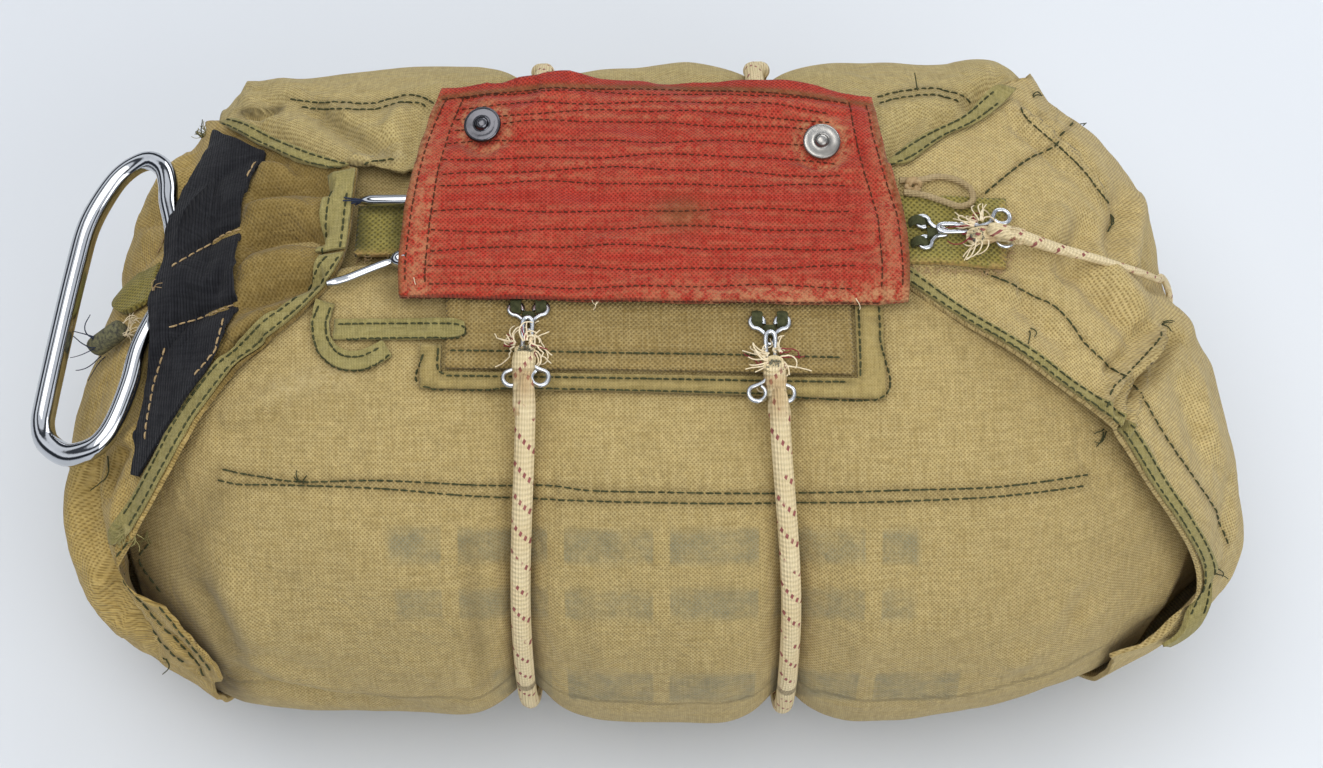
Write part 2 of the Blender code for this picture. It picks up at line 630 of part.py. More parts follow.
left_strap = laid("left_strap", [(-99.0, 57.5, -99.0, 41.0), (-68.0, 57.5, -68.0, 41.0)],
                  flaps, 2, WEBBING, "olive_webbing")
right_strap = laid("right_strap", [(68.0, 60.0, 70.0, 38.0), (112.0, 59.0, 110.0, 36.0)],
                   flaps, 3, WEBBING, "olive_webbing")
left_patch = laid("left_patch", [(-181.5, 28.5, -177.0, 20.0), (-164.0, 39.0, -164.0, 27.0)],
                  flaps, 2, WEBBING, "olive_webbing")
front_patch = laid("front_patch", [(-68.0, 34.0, -68.0, 4.5), (-14.0, 34.0, -14.0, 4.0),
                                   (40.0, 34.0, 40.0, 3.0), (60.0, 34.0, 60.0, 2.5)],
                   flaps, 2, TAPE, "canvas")
PATCH_FRAME = [
    # outer edge     inner edge
    (-76.0, 12.0, -69.3, 12.0),
    (-75.5, -1.8, -69.3, 3.4),
    (-20.0, -2.6, -20.0, 2.6),
    (30.0, -4.0, 30.0, 1.8),
    (70.0, -5.2, 61.3, 1.2),
    (70.0, 34.0, 61.3, 34.0),
]
patch_frame = laid("patch_frame", PATCH_FRAME, flaps, 2, TAPE, "olive_tape")
corner_binding = tape_run("corner_binding", [(-107.0, 25.5), (-108.6, 19.0), (-107.0, 12.0), (-102.0, 7.2),
                                             (-95.5, 6.4), (-90.0, 8.4), (-86.5, 11.0)],
                          6.0, flaps, TAPE, "olive_tape")
tape_tab = tape_run("tape_tab", [(-103.5, 16.6), (-90.0, 16.8), (-78.0, 16.9), (-65.5, 16.9), (-62.0, 16.9)],
                    6.4, solid_tree(*cloth, front_patch, patch_frame), TAPE, "olive_tape", ends=0.55)
dressed = cloth + [left_strap, right_strap, left_patch, front_patch, patch_frame, corner_binding, tape_tab]


# ---------------------------------------------------------------- hooks, eyes and pins

def rests(tree, x, v, lift, reach=0.0):
    """A place `lift` above the highest thing that lies within `reach` of (x, v)."""
    top = -1000.0
    for across, along in ((0, 0), (1, 0), (-1, 0), (0, 1), (0, -1)):
        hit = tree.ray_cast(board(x + across * reach, v + along * reach, 400.0), -BOARD_OUT)[0]
        if hit:
            top = max(top, BOARD_OUT.dot(hit - board(x, v)))
    return board(x, v, top + lift)


def settled(route, radius, tree):
    """The route of a round piece, moved away from whatever its surface would touch."""
    for _ in range(14):
        for near, far in zip(route, route[1:]):
            for f in (0.0, 0.25, 0.5, 0.75, 1.0):
                p = near.lerp(far, f)
                spot, normal, _, away = tree.find_nearest(p)
                if (p - spot).dot(normal) < 0.0:
                    away = -away
                need = radius + SEAT - away
                if need > 0.0:
                    near += normal * need * (1.0 - f)
                    far += normal * need * f
    return route


def turned_frame(tree, x, v, heading):
    """Origin, heading and side of a small fitting that lies at (x, v)."""
    at = rests(tree, x, v, 0.0)
    behind = rests(TAUT, x - heading[0], v - heading[1], 0.0)
    ahead = (rests(TAUT, x + heading[0], v + heading[1], 0.0) - behind).normalized()
    side = ahead.cross(TAUT.find_nearest(at)[1]).normalized()
    return at, ahead, side, side.cross(ahead)


def arc(centre, radius, start, end, count):
    angles = [math.radians(start + (end - start) * k / count) for k in range(count + 1)]
    return [(centre[0] + radius * math.cos(a), centre[1] + radius * math.sin(a)) for a in angles]


# outline of the wire, across and along the fitting, from the place where hook and eye meet
EYE_WIRE = arc((-4.0, 6.4), 2.2, -20.0, 275.0, 9) + [(-1.7, 2.4), (-1.2, -0.4)]
EYE_WIRE += [(0.0, -1.3)] + [(-x, y) for x, y in reversed(EYE_WIRE)]
HOOK_WIRE = arc((-4.4, -19.0), 2.7, 60.0, -225.0, 9) + [(-1.5, -14.0), (-1.4, -6.0), (-1.5, 0.6)]
HOOK_WIRE += [(0.0, 2.2)] + [(-x, y) for x, y in reversed(HOOK_WIRE)]


def fitting(name, outline, tree, x, v, heading, lift):
    at, ahead, side, up = turned_frame(tree, x, v, heading)
    route = []
    for across, along in outline:
        spot = at + side * across + ahead * along
        hit = tree.ray_cast(spot + up * REACH, -up)[0]
        route.append((spot, up.dot(hit - at) if hit else 0.0))
    top = max(height for _, height in route)
    return rod(name, [spot + up * (top + lift) for spot, _ in route], WIRE, "steel", sides=1)


CATCHES = {
    # name   hook and eye meet at   heading of the eye
    "left": ((-42.0, 17.5), (0.0, 1.0)),
    "right": ((34.0, 13.0), (0.0, 1.0)),
    "end": ((90.5, 48.4), (-1.0, 0.0)),
}
fittings = []
for key, (spot, heading) in CATCHES.items():
    ground = solid_tree(*dressed)
    eye = fitting("eye_" + key, EYE_WIRE, ground, *spot, heading, 0.5 * WIRE + SEAT)
    hook = fitting("hook_" + key, HOOK_WIRE, ground, *spot, heading, 1.5 * WIRE + 2 * SEAT)
    fittings += [eye, hook]
dressed += fittings


# ---------------------------------------------------------------- elastics

def band_route(band, under):
    """Runs from the hook down the near side, under the base and up the far side to the red flap's edge."""
    def skin(turn):
        away = Vector((0.0, math.cos(turn), math.sin(turn)))
        reach = 0.0
        for offset in (-0.9, -0.6, -0.3, 0.0, 0.3, 0.6, 0.9):
            place = band_place(band, HALF_WIDTH * math.cos(turn)) + offset * 0.5 * BAND
            core = Vector((place, 0.0, BODY_MID))
            hit = under.ray_cast(core + away * 300.0, -away)[0]
            reach = max(reach, (hit - core).length)
        return reach

    start, end = math.radians(BAND_START), math.radians(BAND_END)
    count = 150
    turns = [start + (end - start) * k / count for k in range(count + 1)]
    reaches = [skin(turn) for turn in turns]
    wide = [max(reaches[max(k - 2, 0):k + 3]) for k in range(count + 1)]
    even = [sum(wide[max(k - 2, 0):k + 3]) / len(wide[max(k - 2, 0):k + 3]) for k in range(count + 1)]
    route = []
    for turn, reach in zip(turns, even):
        place = band_place(band, HALF_WIDTH * math.cos(turn))
        away = Vector((0.0, math.cos(turn), math.sin(turn)))
        route.append(Vector((place, 0.0, BODY_MID)) + away * (reach + 0.5 * BAND + SEAT))
    return route


# girth angles, from the far side over the top: the elastic starts at its hook and goes down the near side
BAND_START = 112.0
BAND_END = 417.0
ground = solid_tree(*dressed)
for key, band in BANDS.items():
    route = band_route(band, ground)
    top = band["top"]
    route = [p for p in route if p.y < -60.0 or p.z < 60.0 or p.y > 0.0
             or BOARD_UP.dot(p - Vector((0.0, 0.0, BODY_MID))) < top[1]]
    route = settled(rounded(route, 15.0), 0.5 * BAND, ground)
    dressed.append(rod("elastic_" + key, route, BAND, "cord_cover", sides=2))

END_ROUTE = [(103.0, 49.5), (112.0, 48.0), (121.0, 45.0), (132.0, 42.5), (143.0, 40.5), (153.0, 38.5),
             (162.0, 36.0), (169.0, 33.0)]
END_DROP = [100.0, 84.0, 66.0, 48.0, 31.0, 19.0]
lift = 0.5 * END_BAND + 2 * SEAT
ground = solid_tree(*dressed)
route = [rests(ground, x, v, lift, 2.0) for x, v in END_ROUTE]
route = [route[0]] + [(p + q + r) / 3 for p, q, r in zip(route, route[1:], route[2:])] + [route[-1]]
for z in END_DROP:
    outward = Vector((1.0, 0.0, 0.0))
    hit, normal, _, _ = ground.ray_cast(Vector((400.0, 26.0, z)), -outward)
    route.append(hit + outward * lift)
route = settled(rounded(route, 12.0), 0.5 * END_BAND, ground)
dressed.append(rod("elastic_end", route, END_BAND, "cord_cover", sides=2))

STUB_ROUTE = [(-175.3, 18.6), (-179.0, 16.4), (-183.0, 14.0), (-187.0, 11.6)]
STUB = 7.6
route = [rests(ground, x, v, 0.5 * STUB + 2 * SEAT, 3.0) for x, v in STUB_ROUTE]
route = settled(rounded(route, 5.0), 0.5 * STUB, ground)
dressed.append(rod("elastic_stub", route, STUB, "cord_cover", sides=2))

LOOP_CORD = 2.2
LOOP_ROUTE = [(77.5, 66.4), (83.0, 66.2), (90.0, 67.6), (96.0, 66.6), (100.5, 63.4), (100.8, 59.2),
              (96.5, 57.4), (91.0, 59.2), (85.0, 61.2), (78.5, 62.2)]
ground = solid_tree(*dressed)
route = [rests(ground, x, v, 0.5 * LOOP_CORD + 2 * SEAT, 2.0) for x, v in LOOP_ROUTE]
route = settled(rounded(route, 4.0), 0.5 * LOOP_CORD, ground)
dressed.append(rod("cord_loop", route, LOOP_CORD, "cord_cover", sides=1))


# ---------------------------------------------------------------- ripcord pins and grip

ground = solid_tree(*dressed)
PIN = 3.0
route = [rests(ground, x, 59.6, 0.5 * PIN + 3 * SEAT, 3.0) for x in (-97.5, -88.0, -78.0, -68.0)]
dressed.append(rod("ripcord_pin", rounded(route, 12.0), PIN, "chrome", sides=2))
SIDE_PIN_ROWS = [(-101.0, 32.4, -101.4, 34.4), (-95.0, 34.4, -95.8, 37.2), (-85.0, 37.6, -85.6, 41.0)]
blade = laid("side_pin", SIDE_PIN_ROWS, ground, 2, 1.1, "chrome")
dressed.append(blade)

GRIP_ROUTE = [(-159.8, 51.0), (-162.6, 60.0), (-163.4, 66.0), (-165.6, 71.6), (-171.0, 74.6), (-178.0, 72.0),
              (-184.0, 65.8), (-190.6, 53.0), (-193.5, 38.0), (-196.4, 17.0), (-199.2, -6.5),
              (-199.4, -13.5), (-197.0, -18.8), (-190.5, -22.5), (-184.2, -21.8), (-178.5, -18.8),
              (-174.0, -12.0), (-170.1, 0.0), (-168.0, 11.0), (-164.2, 20.0), (-159.5, 29.0), (-158.5, 40.0)]
# the ring is flat: its height in front of the board, at its near right corner and how it changes
GRIP_OUT = 68.4
GRIP_TILT_X = 0.40
GRIP_TILT_V = -0.45


def grip_point(x, v):
    return board(x, v, GRIP_OUT + GRIP_TILT_X * (x + 166.0) + GRIP_TILT_V * (v - 20.0))


route = rounded([grip_point(x, v) for x, v in GRIP_ROUTE], 7.5, closed=True)
grip = rod("ripcord_grip", route, ROD, "chrome", closed=True, sides=2)
dressed.append(grip)

# the elastic pocket that holds the grip, its left and right edges on the board
POCKET_ROWS = [
    (-152.5, 86.0, -132.0, 77.5),
    (-154.0, 74.0, -136.0, 66.0),
    (-156.5, 60.0, -137.5, 55.0),
    (-161.5, 52.0, -137.5, 47.0),
    (-160.5, 38.0, -137.5, 39.0),
    (-165.0, 27.5, -136.5, 31.0),
    (-162.5, 17.5, -135.5, 23.0),
    (-163.5, 8.0, -139.5, 11.0),
    (-165.5, -8.0, -152.0, -8.0),
    (-167.6, -29.0, -165.0, -29.5),
]
pocket = laid("grip_pocket", POCKET_ROWS, solid_tree(*dressed), 5, TAPE, "black_elastic", upright=True)
dressed.append(pocket)


# ---------------------------------------------------------------- red protector flap

PROTECTOR_ROWS = [
    # left edge     middle   right edge
    (-73.5, 96.0, 99.5, 70.0, 93.0),
    (-77.5, 84.5, 87.5, 71.0, 82.0),
    (-80.5, 71.0, 72.5, 73.5, 69.5),
    (-82.5, 55.0, 56.0, 77.5, 55.0),
    (-83.5, 40.0, 40.5, 78.5, 40.0),
    (-83.0, 26.5, 25.0, 77.5, 24.5),
]
PROTECTOR_LIFT = 6.0
PROTECTOR_GAP = 1.3
under = solid_tree(*dressed)
grid, resting, normals = [], [], []
for i in range(9):
    left_x, left_v, mid_v, right_x, right_v = spline(PROTECTOR_ROWS, 5 * i / 8)
    line, facing = [], []
    for k in range(17):
        f = k / 16
        bow = 4 * f * (1 - f)
        straight_v = left_v + (right_v - left_v) * f
        v = straight_v + (mid_v - 0.5 * (left_v + right_v)) * bow
        p = pressed(TAUT, left_x + (right_x - left_x) * f, v)
        normal = raising(TAUT.find_nearest(p)[1])
        line.append(p + normal * PROTECTOR_LIFT)
        facing.append(normal)
    grid.append(line)
    resting.append(list(line))
    normals.append(facing)
lay_over(grid, normals, under, PROTECTOR_GAP)
# the quilting is stiff: it spans from one thing that lifts it to the next
for _ in range(5):
    rise = [[(p - q).dot(n) for p, q, n in zip(*rows)] for rows in zip(grid, resting, normals)]
    for i, row in enumerate(rise):
        above, below = rise[max(i - 1, 0)], rise[min(i + 1, 8)]
        for k, height in enumerate(row):
            around = row[max(k - 1, 0)] + row[min(k + 1, 16)] + above[k] + below[k]
            grid[i][k] += normals[i][k] * max(around / 4 - height, 0.0)
protector = sheet("protector_flap", grid, PROTECTOR, "red_canvas")

# radius and height of the turned outline
STUD_PROFILE = [(0.0, 2.6), (1.6, 2.5), (2.4, 1.9), (3.0, 1.5), (5.4, 1.2), (6.1, 0.6), (6.1, 0.0),
                (0.0, 0.0)]
STUDS = {"left": (-58.3, 84.3), "right": (52.3, 78.5)}


def turned(profile, steps):
    """A solid turned round Z."""
    bm = bmesh.new()
    verts = [bm.verts.new((radius, 0.0, height)) for radius, height in profile]
    edges = [bm.edges.new(pair) for pair in zip(verts, verts[1:])]
    bmesh.ops.spin(bm, geom=verts + edges, axis=(0.0, 0.0, 1.0), cent=(0.0, 0.0, 0.0), steps=steps,
                   angle=2 * math.pi, use_merge=True)
    bmesh.ops.remove_doubles(bm, verts=bm.verts, dist=0.001)
    bmesh.ops.recalc_face_normals(bm, faces=bm.faces)
    bm.verts.index_update()
    points = [v.co.copy() for v in bm.verts]
    faces = [tuple(v.index for v in face.verts) for face in bm.faces]
    bm.free()
    return points, faces


quilted = solid_tree(protector)
for key, (x, v) in STUDS.items():
    hit, facing, _, _ = quilted.ray_cast(board(x, v, 400.0), -BOARD_OUT)
    normal = (facing + BOARD_OUT).normalized()
    turn = normal.to_track_quat("Z", "Y")
    outline, faces = turned(STUD_PROFILE, 20)
    for step in range(60):
        points = [hit + normal * 0.1 * step + turn @ p for p in outline]
        if not BVHTree.FromPolygons(points, faces).overlap(quilted):
            break
    mesh_object("stud_" + key, [p + normal * 0.3 for p in points], faces, "steel")
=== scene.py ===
import math
import bpy
import bmesh
import numpy as np
from mathutils import Matrix, Vector
from mathutils.bvhtree import BVHTree


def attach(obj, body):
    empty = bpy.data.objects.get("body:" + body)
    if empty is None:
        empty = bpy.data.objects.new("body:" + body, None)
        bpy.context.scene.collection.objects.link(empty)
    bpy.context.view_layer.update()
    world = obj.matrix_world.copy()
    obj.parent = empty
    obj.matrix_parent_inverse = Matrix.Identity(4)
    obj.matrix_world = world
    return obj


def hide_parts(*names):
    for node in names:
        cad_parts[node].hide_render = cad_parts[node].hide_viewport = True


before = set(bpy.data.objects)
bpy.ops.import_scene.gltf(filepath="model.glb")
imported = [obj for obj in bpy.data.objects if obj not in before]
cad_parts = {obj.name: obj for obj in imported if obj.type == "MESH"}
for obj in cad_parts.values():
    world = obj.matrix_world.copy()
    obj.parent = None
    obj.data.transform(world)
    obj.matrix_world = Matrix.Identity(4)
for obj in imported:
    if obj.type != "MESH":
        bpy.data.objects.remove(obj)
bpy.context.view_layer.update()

mm = 0.001

# the pack's middle and half its girth's width and height, in millimetres, and a board that leans over
# it facing up and to the near side; places on the cloth are (x, v) on that board
pack = {"middle": (3.05, 3.10, 65.0), "halfWide": 115.0, "halfHigh": 83.0, "tilt": 30.0, "distance": 840.0,
        "lens": 65.0}
middle = Vector(pack["middle"])
tilt = math.radians(pack["tilt"])
boardUp = Vector((0.0, math.cos(tilt), math.sin(tilt)))
boardOut = Vector((0.0, -math.sin(tilt), math.cos(tilt)))
sideAxis = Vector((1.0, 0.0, 0.0))
middleRow = np.array(pack["middle"])
upRow = np.array(boardUp)
outRow = np.array(boardOut)
sideRow = np.array(sideAxis)
# corners closer than this are one; rays start this high above the board
weld = 0.02 * mm
wellAbove = 300.0


def onBoard(x, v, out=0.0):
    return middle + sideAxis * x + boardUp * v + boardOut * out


# camera and lights

cameraData = bpy.data.cameras.new("camera")
cameraData.lens = pack["lens"]
cameraData.clip_start = 0.01
camera = bpy.data.objects.new("camera", cameraData)
bpy.context.collection.objects.link(camera)
camera.location = (middle + boardOut * pack["distance"]) * mm
camera.rotation_euler = boardOut.to_track_quat("Z", "Y").to_euler()
bpy.context.scene.camera = camera

studio = {
    # height of the sky, brightness, and the tones for the chrome to mirror
    "sky": [(0.0, (0.66, 0.70, 0.76)), (0.48, (0.42, 0.45, 0.50)), (0.53, (0.03, 0.035, 0.045)),
            (0.66, (0.05, 0.06, 0.075)), (0.71, (1.30, 1.36, 1.45)), (0.80, (1.15, 1.20, 1.28)),
            (0.825, (0.07, 0.08, 0.095)), (0.875, (0.09, 0.10, 0.12)), (0.905, (1.20, 1.25, 1.33)),
            (1.0, (0.95, 1.00, 1.08))],
    "strength": 0.78,
    "lights": {
        # name: place, size, power, colour
        "keySoftbox": ((-0.35, -0.15, 1.6), (1.4, 1.1), 10.0, (1.0, 0.98, 0.95)),
        "fillSoftbox": ((0.75, -1.1, 0.95), (1.3, 1.1), 10.6, (0.97, 0.98, 1.0)),
        "backSoftbox": ((0.75, 1.35, 0.95), (1.6, 0.7), 7.4, (0.97, 0.98, 1.0)),
    },
}
for name, (place, size, power, colour) in studio["lights"].items():
    lightData = bpy.data.lights.new(name, "AREA")
    lightData.shape = "RECTANGLE"
    lightData.size, lightData.size_y = size
    lightData.energy = power
    lightData.color = colour
    light = bpy.data.objects.new(name, lightData)
    bpy.context.collection.objects.link(light)
    light.location = place
    light.rotation_euler = Vector(place).to_track_quat("Z", "Y").to_euler()
bpy.context.scene.view_settings.view_transform = "Standard"


# shader helpers

def newMaterial(name):
    mat = bpy.data.materials.new(name)
    mat.use_nodes = True
    return mat, mat.node_tree, mat.node_tree.nodes["Principled BSDF"]


def addNode(tree, kind, values=None, **settings):
    node = tree.nodes.new(kind)
    for key, value in settings.items():
        setattr(node, key, value)
    for key, value in (values or {}).items():
        if isinstance(value, bpy.types.NodeSocket):
            tree.links.new(value, node.inputs[key])
        else:
            node.inputs[key].default_value = value
    return node


def calc(tree, operation, a, b=0.0, c=0.0, clamp=False):
    values = {0: a, 1: b, 2: c}
    return addNode(tree, "ShaderNodeMath", values, operation=operation, use_clamp=clamp).outputs[0]


def times(tree, a, b):
    return calc(tree, "MULTIPLY", a, b)


def inverse(tree, share):
    return calc(tree, "SUBTRACT", 1.0, share)


def blendColour(tree, share, a, b, mode="MIX"):
    node = addNode(tree, "ShaderNodeMix", {0: share, 6: a, 7: b}, data_type="RGBA", blend_type=mode)
    return node.outputs[2]


def noiseField(tree, vector, scale, detail=3.0, rough=0.55):
    values = {"Vector": vector, "Scale": scale, "Detail": detail, "Roughness": rough}
    return addNode(tree, "ShaderNodeTexNoise", values).outputs["Fac"]


def ramp(tree, value, low, high):
    # a soft step from 0 at low to 1 at high
    values = {"Value": value, "From Min": low, "From Max": high}
    return addNode(tree, "ShaderNodeMapRange", values, interpolation_type="SMOOTHSTEP").outputs["Result"]


def objectPlace(tree):
    return addNode(tree, "ShaderNodeTexCoord").outputs["Object"]


def mapPlace(tree, name):
    return addNode(tree, "ShaderNodeUVMap", uv_map=name).outputs[0]


def painted(tree, name):
    # a value that the mesh itself carries
    return addNode(tree, "ShaderNodeAttribute", attribute_name=name).outputs["Fac"]


def opaque(look):
    # the look's colours, with full alpha
    return {key: (*value, 1) for key, value in look.items() if isinstance(value, tuple)}


def setShader(tree, shader, colour, rough, specular=None):
    tree.links.new(colour, shader.inputs["Base Color"])
    if isinstance(rough, float):
        shader.inputs["Roughness"].default_value = rough
    else:
        tree.links.new(rough, shader.inputs["Roughness"])
    if specular is not None:
        shader.inputs["Specular IOR Level"].default_value = specular


def setBump(tree, shader, strength, distance, height, below=None):
    bump = addNode(tree, "ShaderNodeBump", {"Strength": strength, "Distance": distance, "Height": height})
    if below is not None:
        tree.links.new(below, bump.inputs["Normal"])
    tree.links.new(bump.outputs[0], shader.inputs["Normal"])
    return bump.outputs[0]


world = bpy.data.worlds.new("studioAir")
world.use_nodes = True
air = world.node_tree
way = addNode(air, "ShaderNodeSeparateXYZ", {0: addNode(air, "ShaderNodeTexCoord").outputs["Generated"]})
sky = addNode(air, "ShaderNodeValToRGB", {0: calc(air, "MULTIPLY_ADD", way.outputs[2], 0.5, 0.5)})
while len(sky.color_ramp.elements) < len(studio["sky"]):
    sky.color_ramp.elements.new(0.5)
for stop, (place, colour) in zip(sky.color_ramp.elements, studio["sky"]):
    stop.position = place
    stop.color = (*colour, 1.0)
air.links.new(sky.outputs[0], air.nodes["Background"].inputs[0])
air.nodes["Background"].inputs[1].default_value = studio["strength"]
bpy.context.scene.world = world


# one weave for every cloth: two sets of uneven threads that cross, in its own sizes
def buildWeave():
    group = bpy.data.node_groups.new("threadWeave", "ShaderNodeTree")
    for name, kind, value in (("Place", "NodeSocketVector", None), ("Pitch", "NodeSocketFloat", 0.8),
                              ("Wander", "NodeSocketFloat", 0.9), ("Rib", "NodeSocketFloat", 0.0)):
        socket = group.interface.new_socket(name, in_out="INPUT", socket_type=kind)
        if value is not None:
            socket.default_value = value
    for name in ("Height", "Slub"):
        group.interface.new_socket(name, in_out="OUTPUT", socket_type="NodeSocketFloat")
    source = group.nodes.new("NodeGroupInput")
    result = group.nodes.new("NodeGroupOutput")
    place, pitch = source.outputs["Place"], source.outputs["Pitch"]
    scaled = addNode(group, "ShaderNodeVectorMath", {0: place, 3: calc(group, "DIVIDE", 1000.0, pitch)},
                     operation="SCALE").outputs[0]
    drift = addNode(group, "ShaderNodeTexNoise", {"Vector": scaled, "Scale": 0.09, "Detail": 3.0})
    lean = addNode(group, "ShaderNodeVectorMath", {0: drift.outputs["Color"], 3: source.outputs["Wander"]},
                   operation="SCALE").outputs[0]
    moved = addNode(group, "ShaderNodeVectorMath", {0: scaled, 1: lean}, operation="ADD").outputs[0]
    split = addNode(group, "ShaderNodeSeparateXYZ", {0: moved})
    across, along = (calc(group, "SINE", times(group, split.outputs[k], math.pi)) for k in (0, 1))
    knobs = calc(group, "MULTIPLY_ADD", times(group, across, along), 0.5, 0.5)
    ribs = calc(group, "ABSOLUTE", across)
    mixed = addNode(group, "ShaderNodeMix", {0: source.outputs["Rib"], 2: knobs, 3: ribs}).outputs[0]
    slubs = []
    for stretch in ((1.0, 0.06, 1.0), (0.06, 1.0, 1.0)):
        stretched = addNode(group, "ShaderNodeMapping", {"Vector": scaled, "Scale": stretch}).outputs[0]
        slubs.append(noiseField(group, stretched, 0.9, 2.0))
    slub = times(group, calc(group, "ADD", *slubs), 0.5)
    height = times(group, mixed, calc(group, "MULTIPLY_ADD", slub, 1.3, 0.35))
    group.links.new(height, result.inputs["Height"])
    group.links.new(slub, result.inputs["Slub"])
    return group


weaveGroup = buildWeave()


def clothMaterial(name, look):
    # a woven cloth: colours, the weave's pitch in mm, stains, painted shade in the weave's hollows, a dark
    # mark of dirt and painted shade, and a lighter worn tone
    mat, tree, shader = newMaterial(name)
    body = objectPlace(tree)
    tone = opaque(look)
    weave = addNode(tree, "ShaderNodeGroup", node_tree=weaveGroup)
    tree.links.new(mapPlace(tree, "cloth"), weave.inputs["Place"])
    weave.inputs["Pitch"].default_value = look["pitch"]
    weave.inputs["Rib"].default_value = look.get("rib", 0.0)
    height = weave.outputs["Height"]
    broad = ramp(tree, noiseField(tree, body, 16.0, 5.0, 0.62), 0.32, 0.72)
    mottle = ramp(tree, noiseField(tree, body, 150.0, 4.0, 0.7), 0.35, 0.75)
    yarnTone = ramp(tree, weave.outputs["Slub"], 0.35, 0.65)
    # painted shade: the weave's low places are darkened towards the dark tone
    pitShade = inverse(tree, ramp(tree, height, 0.1, 0.6))
    colour = blendColour(tree, broad, tone["colour"], tone["second"])
    colour = blendColour(tree, times(tree, mottle, 0.3), colour, tone["dark"])
    colour = blendColour(tree, times(tree, yarnTone, look.get("threads", 0.5)), colour, tone["pale"])
    colour = blendColour(tree, times(tree, pitShade, look.get("pitShade", 0.85)), colour, tone["dark"])
    grain = calc(tree, "MULTIPLY_ADD", noiseField(tree, body, 620.0, 3.0, 0.75), 0.75, 0.625)
    greys = addNode(tree, "ShaderNodeCombineColor", {0: grain, 1: grain, 2: grain}).outputs[0]
    colour = blendColour(tree, 1.0, colour, greys, "MULTIPLY")
    if "ink" in look:
        # faded plain blocks, generic, rubbed away in places
        step = addNode(tree, "ShaderNodeSeparateXYZ", {0: mapPlace(tree, "ink")}).outputs[0]
        offset = calc(tree, "ABSOLUTE", calc(tree, "SUBTRACT", calc(tree, "FRACT", step), 0.5))
        bar = inverse(tree, ramp(tree, offset, 0.41, 0.43))
        rubbed = ramp(tree, noiseField(tree, body, 90.0, 5.0, 0.7), 0.20, 0.75)
        share = times(tree, times(tree, bar, painted(tree, "inked")), rubbed)
        share = times(tree, share, ramp(tree, height, 0.0, 0.5))
        colour = blendColour(tree, times(tree, share, 0.5), colour, tone["ink"])
    # the mesh's dark mark: dirt together with painted shade in hollows, creases, seams and under flaps,
    # broken up by noise
    patchy = calc(tree, "MULTIPLY_ADD", noiseField(tree, body, 260.0, 4.0, 0.7), 0.9, 0.5, clamp=True)
    colour = blendColour(tree, times(tree, painted(tree, "grime"), patchy), colour, tone["grime"])
    spotty = ramp(tree, noiseField(tree, body, 380.0, 4.0, 0.75), 0.36, 0.62)
    colour = blendColour(tree, times(tree, painted(tree, "wear"), spotty), colour, tone["worn"])
    setShader(tree, shader, colour, 0.95, 0.12)
    shader.inputs["Sheen Weight"].default_value = look.get("sheen", 0.10)
    shader.inputs["Sheen Roughness"].default_value = 0.5
    fuzzy = calc(tree, "MULTIPLY_ADD", noiseField(tree, body, 900.0, 2.0, 0.6), 0.45, height)
    fine = setBump(tree, shader, look.get("bump", 0.6), look["pitch"] * 0.5 * mm, fuzzy)
    values = {"Vector": body, "Scale": 55.0, "Detail": 4.0, "Roughness": 0.55, "Distortion": 0.6}
    creased = addNode(tree, "ShaderNodeTexNoise", values).outputs["Fac"]
    fold = calc(tree, "ABSOLUTE", calc(tree, "SUBTRACT", creased, 0.5))
    setBump(tree, shader, look.get("crease", 0.35), 0.008, fold, below=fine)
    return mat


def metalMaterial(name, look):
    # a bright or dull metal, a little smudged and scuffed
    mat, tree, shader = newMaterial(name)
    body = objectPlace(tree)
    smudge = noiseField(tree, body, 90.0, 4.0, 0.6)
    bright = look["colour"]
    dull = tuple(look.get("dull", 0.75) * c for c in bright)
    colour = blendColour(tree, ramp(tree, smudge, 0.35, 0.75), (*bright, 1), (*dull, 1))
    rough = calc(tree, "MULTIPLY_ADD", ramp(tree, smudge, 0.4, 0.8), look["scuffs"], look["rough"])
    setShader(tree, shader, colour, rough)
    shader.inputs["Metallic"].default_value = 1.0
    setBump(tree, shader, look.get("bump", 0.06), 0.0002, noiseField(tree, body, 600.0, 3.0))
    return mat


def threadMaterial(name, first, second):
    # a yarn of two close tones
    mat, tree, shader = newMaterial(name)
    shade = ramp(tree, noiseField(tree, objectPlace(tree), 800.0, 3.0, 0.7), 0.3, 0.7)
    setShader(tree, shader, blendColour(tree, shade, (*first, 1), (*second, 1)), 0.85, 0.2)
    return mat


